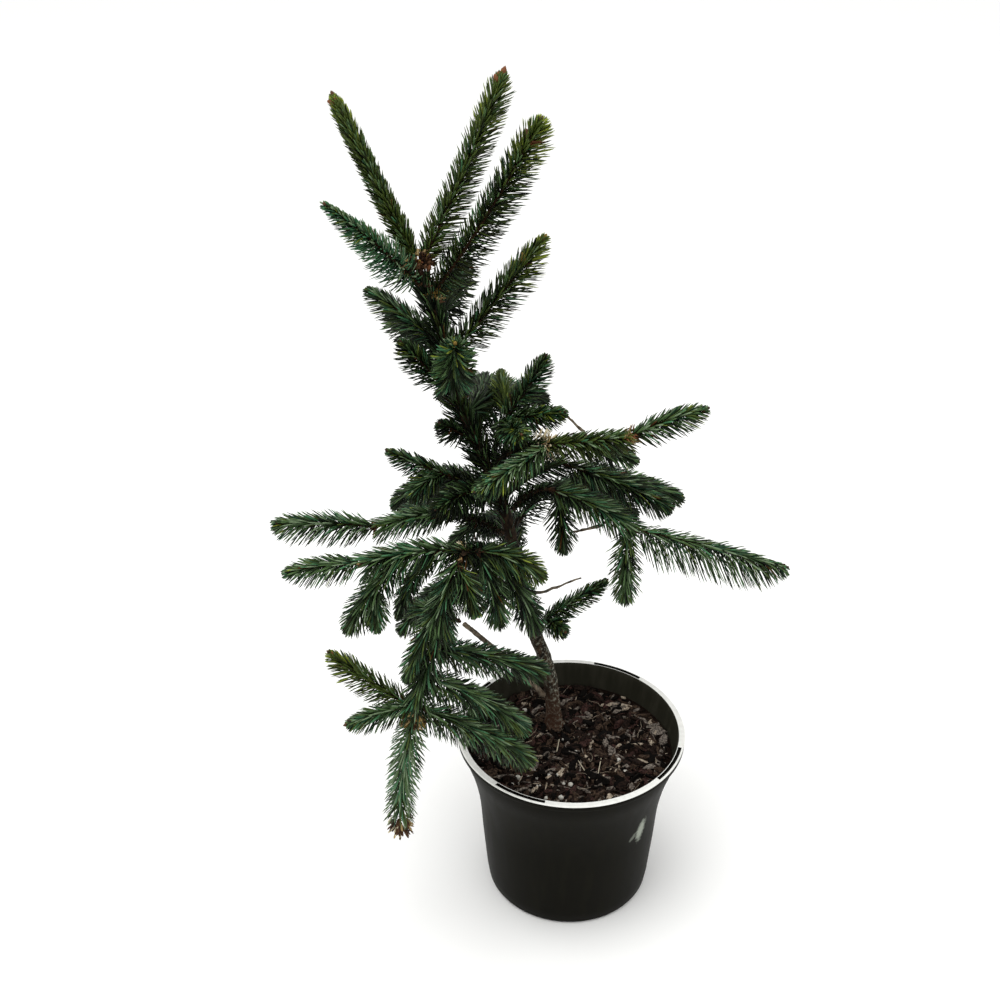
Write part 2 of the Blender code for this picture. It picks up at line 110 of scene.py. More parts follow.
# ---- masses of needles
# Each mass has a name, what bears it, its stem and then its side shoots.  A stem says where it
# meets its bough (a share of the bough's length) or the trunk (a height); a side shoot says
# which shoot of the same mass it grows from (the stem is 0) and how far along.  Then heading,
# rise, length, bow, coat and tone.  A coat is a needle's length, its angle from the shoot and
# how far it leans downwards.
FULL = (24.0, 54, 0.15)
SHORT = (20.0, 50, 0.15)
NARROW = (17.0, 32, 0.0)
HANGING = (30.0, 52, 0.75)
MASSES = (
    ("top_left", "trunk", (TRUNK_TOP, -162, 67, 161, 0, NARROW, "olive_top")),
    ("top_centre", "trunk", (676, 23, 64, 175, -3, SHORT, "warm")),
    ("top_right", "trunk", (648, -13, 60, 189, -4, FULL, "warm_deep")),
    ("upper_left", "trunk", (655, -145, 47, 135, 2, FULL, "bloom")),
    ("left_short", "trunk", (600, 158, 31, 84, 2, SHORT, "deep")),
    ("left_stub", "trunk", (548, -162, 53, 80, 0, SHORT, "deep")),
    ("front_tuft", "trunk", (562, -86, 47, 105, 0, FULL, "pale")),
    ("upper_right", "trunk", (588, 17, 50, 136, -1, FULL, "warm_deep")),
    ("upper_rear", "trunk", (625, 78, 6, 105, 2, FULL, "inner")),
    ("upper_rear_left", "trunk", (590, 122, 2, 100, 2, FULL, "inner")),
    ("middle_rear", "trunk", (530, 66, -8, 96, 3, FULL, "inner")),
    ("middle_left", "trunk", (505, -143, 39, 48, 0, SHORT, "inner")),
    ("inner_left", "trunk", (452, -125, 16, 95, 6, FULL, "inner")),
    ("right_crest", "right_crest", (1.0, 0, 60, 80, -2, SHORT, "green"),
     (0, 0.14, 97, 27, 50, 0, SHORT, "warm"), (0, 0.1, -33, 23, 66, 0, SHORT, "green"),
     (0, 0.06, -78, 21, 80, 0, SHORT, "green")),
    ("right_high", "right_high", (1.0, -18, 16, 85, 0, FULL, "warm"),
     (0, 0.97, -5, 26, 70, 2, SHORT, "green"), (0, 0.35, 12, -22, 64, 2, SHORT, "deep"),
     (0, 0.12, -135, -5, 90, 0, SHORT, "pale")),
    ("right_middle", "right_middle", (1.0, -22, -12, 110, 4, FULL, "deep"),
     (0, 0.15, 19, -26, 120, 2, FULL, "deep")),
    ("right_long", "right_long", (1.0, -17, -19, 90, 6, FULL, "green"),
     (0, 0.12, -69, -73, 56, 4, FULL, "inner"), (0, 0.97, -9, -11, 140, 1, HANGING, "pale"),
     (0, 0.9, -93, -81, 76, 3, FULL, "green")),
    ("right_low", "trunk", (290, -3, 40, 90, 0, SHORT, "green"),
     (0, 0.15, -58, 15, 36, 2, SHORT, "green")),
    ("left_high", "left_high", (1.0, -167, 31, 68, -1, SHORT, "green"),
     (0, 0.15, -137, -11, 40, 4, FULL, "green")),
    ("left_long", "left_long", (1.0, -164, -2, 73, 3, FULL, "pale"),
     (0, 0.97, -167, 10, 92, 2, FULL, "pale"), (0, 0.1, 128, -23, 74, 2, SHORT, "deep")),
    ("front_left", "front", (0.92, -158, 7, 100, 6, FULL, "pale"),
     (0, 0.97, -171, -2, 66, 2, FULL, "pale"), (0, 0.58, -169, -53, 91, 5, FULL, "green"),
     (2, 0.45, -96, -81, 42, 2, SHORT, "green"), (0, 0.3, 174, -63, 83, 6, SHORT, "deep")),
    ("front_right", "front", (0.92, 3, -24, 70, 9, FULL, "olive_tip"),
     (0, 0.25, 23, -65, 105, 4, FULL, "deep"), (0, 0.08, -21, -74, 75, 4, FULL, "deep")),
    ("front_hanging", "front", (1.0, -122, -59, 80, 12, FULL, "deep"),
     (0, 0.97, -156, -72, 80, 4, FULL, "deep"), (1, 0.12, 36, -33, 145, 2, FULL, "deep"),
     (1, 0.5, 26, -43, 139, 6, FULL, "green"), (1, 0.94, 168, 34, 90, -1, FULL, "warm"),
     (1, 0.88, -160, -3, 61, 2, SHORT, "pale"), (1, 0.97, 180, -83, 145, 4, FULL, "browned"),
     (1, 0.91, 20, -40, 144, 5, FULL, "green"), (0, 0.55, -146, -60, 78, 3, SHORT, "deep"),
     (0, 0.14, -63, -38, 45, 4, FULL, "deep")),
    ("low_left", "low_left", (1.0, 153, -1, 65, 6, SHORT, "green"),
     (0, 0.2, 134, -74, 60, 6, SHORT, "green")),
    ("rear_high", "rear_high", (1.0, 88, -22, 125, 8, FULL, "inner"),
     (0, 0.22, 44, -26, 90, 5, FULL, "inner"), (0, 0.4, 126, -28, 85, 5, FULL, "inner")),
    ("rear_left", "rear_left", (1.0, 126, -36, 130, 8, FULL, "inner"),
     (0, 0.22, 156, -38, 80, 5, FULL, "inner"), (0, 0.4, 90, -42, 85, 5, FULL, "inner")),
    ("rear_right", "rear_right", (1.0, 52, -30, 135, 8, FULL, "inner"),
     (0, 0.22, 14, -30, 85, 5, FULL, "inner"), (0, 0.42, 90, -38, 90, 5, FULL, "inner")),
    ("rear_middle", "rear_middle", (1.0, 102, -38, 130, 8, FULL, "inner"),
     (0, 0.22, 76, -44, 85, 5, FULL, "inner"), (0, 0.4, 142, -44, 85, 5, FULL, "inner")),
    ("rear_low", "rear_low", (1.0, 146, -44, 120, 8, FULL, "inner"),
     (0, 0.22, 190, -40, 80, 5, FULL, "inner"), (0, 0.4, 118, -52, 80, 5, FULL, "inner")),
)
BARE = 4.0  # length without needles at a stem's foot
STEM_R = 2.3  # radius of a stem at its foot
SIDE_R = 1.1  # and of a side shoot
TIP_R = 1.7  # and of any shoot at its tip, where the part's core is kept thick


# ---- curves, in millimetres
def unit(v):
    return v / np.linalg.norm(v, axis=-1, keepdims=True)


class Limb:
    """A straight run from a point, bowed upwards in its own upright plane."""

    def __init__(self, start, heading, rise, length, bow, foot_r, tip_r):
        h, r = math.radians(heading), math.radians(rise)
        self.start = np.array(start, float)
        self.way = np.array((math.cos(h) * math.cos(r), math.sin(h) * math.cos(r), math.sin(r)))
        self.up = np.array((-math.cos(h) * math.sin(r), -math.sin(h) * math.sin(r), math.cos(r)))
        self.side = np.array((-math.sin(h), math.cos(h), 0.0))
        self.length, self.bow = length, bow
        self.foot_r, self.tip_r = foot_r, tip_r
        self.begin = 0.0

    def at(self, t):
        t = np.asarray(t, float)[..., None]
        return self.start + self.way * (self.length * t) + self.up * (4 * self.bow * t * (1 - t))

    def tangent(self, t):
        t = np.asarray(t, float)[..., None]
        return unit(self.way * self.length + self.up * (4 * self.bow * (1 - 2 * t)))

    def radius(self, t):
        return self.foot_r + (self.tip_r - self.foot_r) * t

    def shares(self, steps):
        """Shares of its length, evenly from where it begins to its tip."""
        return self.begin + (1 - self.begin) * np.linspace(0, 1, steps + 1)


class Trunk:
    """The trunk's axis, a smooth curve through its way points, asked for by height."""

    def at(self, z):
        last = len(TRUNK_WAY) - 1
        i = max(0, min(last - 1, sum(1 for row in TRUNK_WAY if row[0] <= z) - 1))
        rows = [TRUNK_WAY[max(0, min(last, j))] for j in (i - 1, i, i + 1, i + 2)]
        span = rows[2][0] - rows[1][0]
        u = (z - rows[1][0]) / span
        enter = (rows[2][1] - rows[0][1]) / (rows[2][0] - rows[0][0]) * span
        leave = (rows[3][1] - rows[1][1]) / (rows[3][0] - rows[1][0]) * span
        x = (rows[1][1] * (2 * u ** 3 - 3 * u ** 2 + 1) + enter * (u ** 3 - 2 * u ** 2 + u)
             + rows[2][1] * (3 * u ** 2 - 2 * u ** 3) + leave * (u ** 3 - u ** 2))
        share = (z - TRUNK_FOOT) / (TRUNK_TOP - TRUNK_FOOT)
        return np.array((x, TRUNK_BACK[0] + (TRUNK_BACK[1] - TRUNK_BACK[0]) * share, z))

    def tangent(self, z):
        if z >= TRUNK_TOP:
            return np.array((0.0, 0.0, 1.0))
        return unit(self.at(z + 4) - self.at(z - 4))

    def radius(self, z):
        share = max(0.0, z - TRUNK_FOOT) / (TRUNK_TOP - TRUNK_FOOT)
        taper = TRUNK_DIA[0] + (TRUNK_DIA[1] - TRUNK_DIA[0]) * share ** TRUNK_TAPER
        return (taper + FLARE * math.exp(-(z - TRUNK_FOOT) / FLARE_RISE)) / 2


class Leader:
    """A stretch of the trunk as a limb, asked for by its share from its foot to its top."""
    begin = 0.0
    side = np.array((0.0, 1.0, 0.0))

    def __init__(self, trunk, foot, top):
        self.trunk, self.foot, self.length = trunk, foot, top - foot

    def each(self, ask, t):
        return np.array([ask(z) for z in self.foot + np.atleast_1d(t) * self.length])

    def at(self, t):
        return self.each(self.trunk.at, t)

    def tangent(self, t):
        return self.each(self.trunk.tangent, t)

    def radius(self, t):
        return self.each(self.trunk.radius, t)


def set_off(parent, along, limb, tip):
    """Start the limb where its flat foot is CLEAR of the parent's surface or end."""
    cos = abs(float(limb.tangent(0) @ parent.tangent(along)))
    sin = math.sqrt(max(0.0, 1 - cos * cos))
    if tip:
        gap = (CLEAR + limb.foot_r * sin) / cos
    else:
        gap = (parent.radius(along) + CLEAR + limb.foot_r * cos) / sin
    limb.begin = gap / limb.length


def grow():
    """The trunk and the boughs by name, and each mass's list of (shoot, coat, tone)."""
    trunk = Trunk()
    limbs = {"trunk": trunk}
    for name, height, *run, foot, tip in BOUGHS:
        limbs[name] = Limb(trunk.at(height), *run, foot / 2, tip / 2)
        set_off(trunk, height, limbs[name], False)
    masses = {}
    for name, holder, stem, *sides in MASSES:
        shoots = []
        for bearer, along, *run, coat, tone in [(None, *stem), *sides]:
            is_stem = bearer is None
            bearer = limbs[holder] if is_stem else shoots[bearer][0]
            limb = Limb(bearer.at(along), *run, STEM_R if is_stem else SIDE_R, TIP_R)
            if is_stem:
                set_off(bearer, along, limb, along in (1.0, TRUNK_TOP))
            shoots.append((limb, coat, tone))
        masses[name] = shoots
    return limbs, masses


# ---- making pieces
def carry(piece, slot, *nodes):
    """The piece rides with the plant's one body and stands for its nodes; its slot is not used."""
    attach(piece, "root")
    if nodes:
        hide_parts(*nodes)


def ring_quads(rings, sides):
    """Quads that join each ring of vertices to the next."""
    return [(i * sides + k, i * sides + (k + 1) % sides, (i + 1) * sides + (k + 1) % sides,
             (i + 1) * sides + k) for i in range(rings - 1) for k in range(sides)]


def tip_tris(first, sides):
    """Triangles from a ring to the one vertex after it."""
    return [(first + k, first + (k + 1) % sides, first + sides) for k in range(sides)]


def tile(faces, tints, count, stride):
    """Faces and tints of one model, repeated for count copies whose vertices are stride apart."""
    faces = np.array(faces)
    steps = (np.arange(count) * stride)[:, None, None]
    return (faces[None] + steps).reshape(-1, faces.shape[1]), tints.reshape(-1)


def array_piece(name, parts, materials, smooth=True):
    """A joined mesh; each part is (vertices in millimetres, list of (faces, tints))."""
    mesh = bpy.data.meshes.new(name)
    verts, loops, sizes, tints = [], [], [], []
    count = 0
    for part_verts, part_faces in parts:
        part_verts = part_verts.reshape(-1, 3)
        verts.append(part_verts * MM)
        for faces, face_tints in part_faces:
            loops.append((faces + count).reshape(-1))
            sizes.append(np.full(len(faces), faces.shape[1]))
            tints.append(np.asarray(face_tints))
        count += len(part_verts)
    verts, loops, sizes, tints = (np.concatenate(rows) for rows in (verts, loops, sizes, tints))
    mesh.vertices.add(len(verts))
    mesh.vertices.foreach_set("co", verts.astype(np.float32).reshape(-1))
    mesh.loops.add(len(loops))
    mesh.loops.foreach_set("vertex_index", loops.astype(np.int32))
    mesh.polygons.add(len(sizes))
    mesh.polygons.foreach_set("loop_start", (np.cumsum(sizes) - sizes).astype(np.int32))
    mesh.polygons.foreach_set("material_index", tints.astype(np.int32))
    mesh.polygons.foreach_set("use_smooth", np.full(len(sizes), smooth))
    mesh.update(calc_edges=True)
    mesh.validate()
    for material in materials:
        mesh.materials.append(material)
    piece = bpy.data.objects.new(name, mesh)
    bpy.context.scene.collection.objects.link(piece)
    return piece


def pick(piece, mode, wanted):
    """In edit mode, select just the edges or faces that wanted() says yes to."""
    bpy.ops.mesh.select_mode(type=mode)
    bpy.ops.mesh.select_all(action="DESELECT")
    bm = bmesh.from_edit_mesh(piece.data)
    for element in bm.edges if mode == "EDGE" else bm.faces:
        if wanted(element):
            element.select_set(True)
    bm.select_flush_mode()
    bmesh.update_edit_mesh(piece.data)


def new_ring(name, sides, radius, place, fill, **turn):
    """A new circle in edit mode, all selected, its place and turn applied."""
    bpy.ops.object.select_all(action="DESELECT")
    bpy.ops.mesh.primitive_circle_add(vertices=sides, radius=radius * MM, fill_type=fill,
                                      location=place, **turn)
    piece = bpy.context.object
    piece.name = name
    piece.data.name = name
    bpy.ops.object.transform_apply(location=True, rotation=True, scale=True)
    bpy.ops.object.mode_set(mode="EDIT")
    bpy.ops.mesh.select_all(action="SELECT")
    return piece


def turned(name, sides, rows):
    """A shell drawn from a ring through rows of (height, radius), and closed at the last row."""
    piece = new_ring(name, sides, rows[0][1], (0, 0, rows[0][0] * MM), "NOTHING")
    for (z, r), (next_z, next_r) in zip(rows, rows[1:]):
        bpy.ops.mesh.extrude_edges_move(
            TRANSFORM_OT_translate={"value": (0, 0, (next_z - z) * MM)})
        share = next_r / r
        bpy.ops.transform.resize(value=(share, share, 1), center_override=(0, 0, 0))
    bpy.ops.mesh.edge_face_add()
    return piece


def close_rest(piece):
    """Close the opening that is left."""
    pick(piece, "EDGE", lambda e: e.is_boundary)
    bpy.ops.mesh.edge_face_add()


def finish_mesh(piece, materials, smooth_angle):
    """Leave edit mode with outward normals, smooth below the angle, materials in place."""
    bpy.ops.mesh.select_all(action="SELECT")
    bpy.ops.mesh.normals_make_consistent(inside=False)
    bpy.ops.object.mode_set(mode="OBJECT")
    for material in materials:
        piece.data.materials.append(material)
    bpy.ops.object.shade_smooth_by_angle(angle=math.radians(smooth_angle))


# ---- materials
def linear(hex_rgb):
    """sRGB hex to a linear colour."""
    out = []
    for i in (0, 2, 4):
        c = int(hex_rgb[i:i + 2], 16) / 255
        out.append(c / 12.92 if c <= 0.04045 else ((c + 0.055) / 1.055) ** 2.4)
    return (*out, 1.0)


def add(tree, kind, *values, **named):
    """Add a node.  The values fill its sockets in order; a name with a capital is a socket too,
    and any other is a setting.  A value may be a node, for its first output, or an output."""
    made = tree.nodes.new("ShaderNode" + kind)
    sockets = dict(enumerate(values))
    for name, value in named.items():
        if name[0].isupper():
            sockets[name.replace("_", " ")] = value
        else:
            setattr(made, name, value)
    for name, value in sockets.items():
        if isinstance(value, bpy.types.Node):
            value = value.outputs[0]
        if isinstance(value, bpy.types.NodeSocket):
            tree.links.new(value, made.inputs[name])
        else:
            made.inputs[name].default_value = value
    return made


def plain(name, colour, roughness, specular=0.5):
    """A material whose shader has its own sockets set."""
    mat = bpy.data.materials.new(name)
    mat.use_nodes = True
    sockets = mat.node_tree.nodes["Principled BSDF"].inputs
    sockets["Base Color"].default_value = linear(colour)
    sockets["Roughness"].default_value = roughness
    sockets["Specular IOR Level"].default_value = specular
    return mat


def patterned(*row):
    """A material for patterns, its node tree, and the place on the object as an output."""
    mat = plain(*row)
    return mat, mat.node_tree, add(mat.node_tree, "TexCoord").outputs["Object"]


def wire(mat, **nodes):
    """Link nodes to the shader's sockets."""
    shader = mat.node_tree.nodes["Principled BSDF"]
    for socket, node in nodes.items():
        mat.node_tree.links.new(node.outputs[0], shader.inputs[socket.replace("_", " ")])
    return mat


# Needles have a waxy cuticle: a soft gloss, dark on old wood, bluish where the pale bands of
# breathing pores show, yellow-green where the newest ones crowd round a bud.  The darker and
# paler greens are dealt out as painted shade and painted light too.
NEEDLE_TINTS = (  # name, colour, roughness, specular
    ("needle_cuticle_old", "0b110a", 0.55, 0.08),
    ("needle_cuticle_dark", "182310", 0.50, 0.12),
    ("needle_cuticle_green", "2b4020", 0.44, 0.18),
    ("needle_cuticle_light", "486138", 0.44, 0.20),
    ("needle_wax_band", "6d8161", 0.52, 0.20),
    ("needle_cuticle_moss", "22280c", 0.50, 0.12),
    ("needle_cuticle_olive", "3f4e1d", 0.46, 0.18),
    ("needle_cuticle_fresh", "7d8a30", 0.46, 0.18),
    ("needle_dry", "43290f", 0.70, 0.10),
    ("needle_cuticle_blue", "1c3c25", 0.44, 0.18),
    ("needle_cuticle_sea", "42704b", 0.44, 0.20),
)
OLD, DARK, GREEN, LIGHT, BAND_WAX, MOSS, OLIVE, FRESH, DRY, BLUE, SEA = range(11)

# Bud scales are dry and papery: brown, with resin on the fresher ones and bleached with age; the straw
# and cream ones stand partly for painted highlights on the bud clusters.
SCALE_TINTS = (
    ("bud_scale_brown", "4d3522", 0.62, 0.15),
    ("bud_scale_orange", "6b4228", 0.60, 0.15),
    ("bud_scale_straw", "a08a5e", 0.65, 0.15),
    ("bud_scale_dark", "33231a", 0.65, 0.15),
    ("bud_scale_golden", "7d6630", 0.58, 0.15),
    ("bud_scale_cream", "cdc3a4", 0.70, 0.15),
)
BROWN, ORANGE, STRAW, UMBER, GOLD, CREAM = range(6)
GRIT_TINTS = (("perlite", "bdbab0", 0.85), ("root_fibre", "8a7c6a", 0.80), ("straw_fibre", "b3a992", 0.75))


def plains(rows):
    return [plain(*row) for row in rows]


def bark_material(name, crack, scale):
    """Young spruce bark, scaly with the pegs of fallen needles: matt, brown, dark between the
    scales, with a pale grey-green crust of lichen low down, thickest on the lit side away from the lean,
    partly as painted highlight."""
    mat, tree, place = patterned(name, scale, 0.85, 0.12)
    stretched = add(tree, "Mapping", place, Scale=(1.0, 1.0, 0.45))
    scales = add(tree, "TexNoise", stretched, Scale=280.0, Detail=5.0)  # scales of 3 to 4 mm
    tone = add(tree, "MapRange", scales, From_Min=0.36, From_Max=0.66)
    wood = add(tree, "MixRGB", tone, linear(crack), linear(scale))
    height = add(tree, "SeparateXYZ", place).outputs["Z"]
    foot = add(tree, "MapRange", height, From_Min=0.225, From_Max=0.185)
    young = add(tree, "MapRange", height, From_Min=0.60, From_Max=0.66)
    smooth = add(tree, "Math", foot, young, operation="ADD")
    warm = add(tree, "MixRGB", smooth, wood, linear("402b1f"))
    low = add(tree, "MapRange", height, From_Min=0.38, From_Max=0.24, To_Max=0.6)
    # the trunk leans to -X by a quarter of its height here: how far a point is to its lit side
    across = add(tree, "VectorMath", place, (1.0, 0.0, 0.26), operation="DOT_PRODUCT")
    lit = add(tree, "MapRange", across.outputs["Value"], From_Min=0.032, From_Max=0.040,
              To_Min=0.5, To_Max=1.6)
    # lichen low down, raised on the lit side as a painted highlight
    lichen_and_highlight = add(tree, "Math", low, lit, operation="MULTIPLY")
    # flecks of lichen 2 to 3 mm across
    crust = add(tree, "TexNoise", place, Scale=330.0, Detail=8.0, Roughness=0.75)
    spread = add(tree, "MapRange", crust, From_Min=0.50, From_Max=0.66)
    share = add(tree, "Math", spread, lichen_and_highlight, operation="MULTIPLY", use_clamp=True)
    colour = add(tree, "MixRGB", share, warm, linear("a3a595"))
    relief = add(tree, "Bump", Height=scales, Distance=0.0006, Strength=0.7)
    return wire(mat, Base_Color=colour, Normal=relief)


def twig_material():
    """First and second year shoots: thin smooth bark between the needle pegs, orange-brown."""
    mat, tree, place = patterned("spruce_shoot_bark", "2a1e12", 0.75, 0.12)
    pegs = add(tree, "TexNoise", place, Scale=500.0, Detail=3.0)  # 2 mm pegs
    colour = add(tree, "MixRGB", pegs, linear("1c120a"), linear("4a3220"))
    relief = add(tree, "Bump", Height=pegs, Distance=0.0004, Strength=0.6)
    return wire(mat, Base_Color=colour, Normal=relief)


SCUFFS = (  # middle of each pale scuff on the wall, lean, width, length, strength
    ((69, -63, 111), 2, 8.0, 20, 0.85), ((62, -71, 107), 40, 4.0, 8, 0.35),
)
SCUFF_DEPTH = 30  # deep enough to reach through the curve of the wall


def pot_material(name, body, dusty):
    """Polypropylene, injection moulded and recycled: near-black, satin, with dust in its fine
    grain, faint upright streaks from rain and two pale scuffs on the shoulder."""
    mat, tree, place = patterned(name, body, 0.5, 0.035)
    # the moulded grain is 0.3 mm and is drawn at about 1 mm, so that it shows
    grain = add(tree, "TexNoise", place, Scale=900.0, Detail=2.0)
    upright = add(tree, "Mapping", place, Scale=(1.0, 1.0, 0.12))
    streaks = add(tree, "TexNoise", upright, Scale=110.0, Detail=4.0)  # 9 mm apart
    dust = add(tree, "MapRange", streaks, From_Min=0.45, From_Max=0.75, To_Max=0.6)
    colour = add(tree, "MixRGB", dust, linear(body), linear(dusty))
    # each scuff is a leaning ellipse whose edge is broken up by 3 mm scratches
    ragged = add(tree, "TexNoise", place, Scale=320.0, Detail=5.0)
    for (x, y, z), lean, width, length, strength in SCUFFS:
        local = add(tree, "Mapping", place, Location=(x * MM, y * MM, z * MM),
                    Rotation=(0, math.radians(lean), math.atan2(x, -y)),
                    Scale=(width * MM, SCUFF_DEPTH * MM, length * MM), vector_type="TEXTURE")
        reach = add(tree, "VectorMath", local, operation="LENGTH")
        edge = add(tree, "Math", reach.outputs["Value"], ragged, operation="ADD")
        rubbed = add(tree, "MapRange", edge, From_Min=1.40, From_Max=0.95, To_Max=strength)
        colour = add(tree, "MixRGB", rubbed, colour, linear("9aa094"))
    shine = add(tree, "MapRange", streaks, To_Min=0.40, To_Max=0.55)
    relief = add(tree, "Bump", Height=grain, Distance=0.0002, Strength=0.25)
    return wire(mat, Base_Color=colour, Roughness=shine, Normal=relief)


def rim_highlight_material():
    """The same plastic along the rim's flat top, painted as a pale band: a painted highlight where the flat
    top catches the light.
    """
    mat, tree, place = patterned("rim_band_painted_highlight", "e4e4de", 0.55)
    highlight_patches = add(tree, "TexNoise", place, Scale=160.0, Detail=5.0)  # 6 mm patches
    return wire(mat, Base_Color=add(tree, "MixRGB", highlight_patches, linear("f4f4f0"), linear("cfcfc8")))


def compost_material():
    """Peat and composted bark: matt, crumbly, almost black, partly as painted shade in the gaps between the
    chips.
    """
    mat, tree, place = patterned("peat_compost", "1a120d", 0.95, 0.05)
    crumbs = add(tree, "TexNoise", place, Scale=420.0, Detail=6.0)  # 2.5 mm crumbs
    colour = add(tree, "MixRGB", crumbs, linear("040302"), linear("261b15"))
    relief = add(tree, "Bump", Height=crumbs, Distance=0.0012, Strength=0.9)
    return wire(mat, Base_Color=colour, Normal=relief)


CHIP_TINTS = (  # pine bark chips: dark inside, red-brown or grey where they have dried; the near-black ones are partly painted shade between the chips
    ("bark_chip_dark", "0c0806", "2c201a", 0.85),
    ("bark_chip_brown", "1a120e", "4c3d31", 0.82),
    ("bark_chip_red", "1a100d", "46302b", 0.80),
    ("bark_chip_grey", "38332e", "877d73", 0.80),
    ("bark_chip_tan", "7a6c5c", "c0b29e", 0.78),
    ("bark_chip_black", "040302", "100c09", 0.88),
)
CHIP_DARK, CHIP_BROWN, CHIP_RED, CHIP_GREY, CHIP_TAN, CHIP_BLACK = range(6)


def chip_material(name, shade, light, roughness):
    """Pine bark, broken along its layers: matt, each layer a little paler or darker."""
    mat, tree, place = patterned(name, light, roughness, 0.08)
    layers = add(tree, "TexNoise", place, Scale=600.0, Detail=4.0)  # 1.5 mm layers
    tone = add(tree, "MapRange", layers, From_Min=0.38, From_Max=0.62)
    return wire(mat, Base_Color=add(tree, "MixRGB", tone, linear(shade), linear(light)))


# ---- needles
GOLDEN_ANGLE = math.radians(137.5)
PER_MM = 4.0  # needles on each millimetre of shoot
NEEDLE_WIDTH = 1.7
NEEDLE_THICK = 1.0
NEEDLE_VARIES = (0.84, 0.98)  # least and most of the coat's needle length
WIDTH_VARIES = (0.85, 1.1)
NEEDLE_RINGS = ((0.0, 0.45), (0.24, 1.0), (0.84, 0.80))  # share of the length, of the width
NEEDLE_SIDES = 4
TURN_ASTRAY = 0.10  # radians by which needles stray from the spiral
ROLL_ASTRAY = 0.28  # and roll about their own length
TIP_CUT = 0.76  # share of their length that needles lose at the very tip
TIP_RUN = 27.0  # length over which needles close round the end bud
TIP_CLOSE = 0.35  # share of their angle that they lose there
SPREAD = (1.20, 0.76)  # how far needles stand out at a shoot's foot and tip, over the coat
TOP_PRESS = 0.42  # share of their angle that needles on top of a shoot lose
UNDER_PRESS = 0.05  # and that those below it gain
SWEEP_FORWARD = 0.14  # how far needles curve along the shoot, over their length
SWEEP_DOWN = 0.03  # and downwards
FOOT_RUN = 25  # length over which needles reach their full size
NODE_BARE = 8.0  # length without needles where younger shoots carry a shoot on
FRESH_RUN = 60.0  # length over which a shoot turns fresher towards its tip
FRESH_SHARE = 0.75  # most of its needles that are fresh at the tip
DRY_SHARE = 0.005
WARM_OF = np.array((MOSS, MOSS, OLIVE, OLIVE, LIGHT))  # what warm growth has for each green
COOL_OF = np.array((OLD, DARK, BLUE, SEA, BAND_WAX))  # and what bluish growth has
# the pot's wall and rim, where no needle goes: top, outer, inner radius, and the compost's top
POT_ROOM = (192, 118, 103, 166)
WOOD_ROOM = 0.2  # gap between a needle and wood that it doesn't grow from

# how a mass's needles are shaded: shares of old, dark, green, light and band, then the shares
# of warm and of bluish growth and how far the tips are fresh
TONES = {
    # the inner tone: dark partly for older needles and partly as painted shade inside and behind the crown
    "inner": ((0.42, 0.38, 0.16, 0.04, 0.00), 0.10, 0.10, 0.0),
    # the deep tone: darker as painted shade, for shoots in the crown's shadow
    "deep": ((0.18, 0.40, 0.32, 0.09, 0.01), 0.10, 0.28, 0.1),
    "green": ((0.08, 0.26, 0.40, 0.22, 0.04), 0.12, 0.25, 0.1),
    "pale": ((0.05, 0.18, 0.37, 0.31, 0.09), 0.08, 0.30, 0.1),
    "browned": ((0.02, 0.11, 0.28, 0.37, 0.22), 0.06, 0.35, 0.5),
    # this tone: paler and bluer, partly for a waxy bloom and partly as painted light on the lit upper-left
    # mass
    "bloom": ((0.00, 0.03, 0.20, 0.50, 0.27), 0.05, 0.80, 0.2),
    "warm": ((0.08, 0.27, 0.41, 0.21, 0.03), 0.75, 0.03, 0.9),
    "warm_deep": ((0.18, 0.40, 0.32, 0.09, 0.01), 0.45, 0.10, 1.3),
    "olive_tip": ((0.20, 0.40, 0.31, 0.08, 0.01), 0.15, 0.22, 0.8),
    "olive_top": ((0.05, 0.22, 0.43, 0.26, 0.04), 0.80, 0.03, 1.3),
}
SHAPES = {  # by mass and shoot: share of the needles' length, the run they close over, number
    "upper_left 0": (1.0, 100, 1.0), "right_long 2": (1.2, 50, 0.8), "left_high 0": (0.85, 30, 0.9),
    "left_long 0": (0.85, 27, 1.0), "left_long 1": (0.95, 27, 0.9), "front_left 1": (0.85, 30, 1.0),
    "front_left 4": (0.75, 30, 0.9), "front_hanging 4": (0.84, 30, 1.0), "right_low 0": (0.8, 30, 1.0),
    "right_long 3": (0.92, 27, 0.9), "upper_right 0": (1.0, 42, 1.0),
    "front_hanging 6": (0.95, 36, 0.78), "top_left 0": (1.0, 28, 1.0), "right_high 0": (0.78, 20, 1.1),
    "right_long 1": (0.92, 27, 0.85), "front_hanging 5": (0.95, 24, 0.9),
    "rear_middle 0": (0.85, 27, 0.8), "rear_middle 2": (0.85, 27, 0.8),
}
BARE_TIPS = {"front_hanging 6": 31.0}  # shoots that end in scales, without needles so far


def needle_part(base, way, across, bend, length, width, thick, tints):
    """One flattened four-sided needle for each row, as a part of an array piece.  The tints are
    its upper sides', its lower sides' and its foot's."""
    top = np.cross(way, across)
    points = []
    for u, fat in NEEDLE_RINGS:
        middle = base + way * (length * u)[:, None] + bend * (length * u * u)[:, None]
        half = across * (width * fat / 2)[:, None]
        rise = top * (thick * fat / 2)[:, None]
        points += [middle + half, middle + rise, middle - half, middle - rise]
    points.append(base + (way + bend) * length[:, None])
    sides = [0, 0, 1, 1]
    quads = [(3, 2, 1, 0)] + ring_quads(len(NEEDLE_RINGS), NEEDLE_SIDES)
    tris = tip_tris(len(points) - 1 - NEEDLE_SIDES, NEEDLE_SIDES)
    faces = []
    for model, takes in ((quads, [2] * 5 + sides), (tris, sides)):
        faces.append(tile(model, tints[:, takes], len(base), len(points)))
    return np.stack(points, axis=1), faces


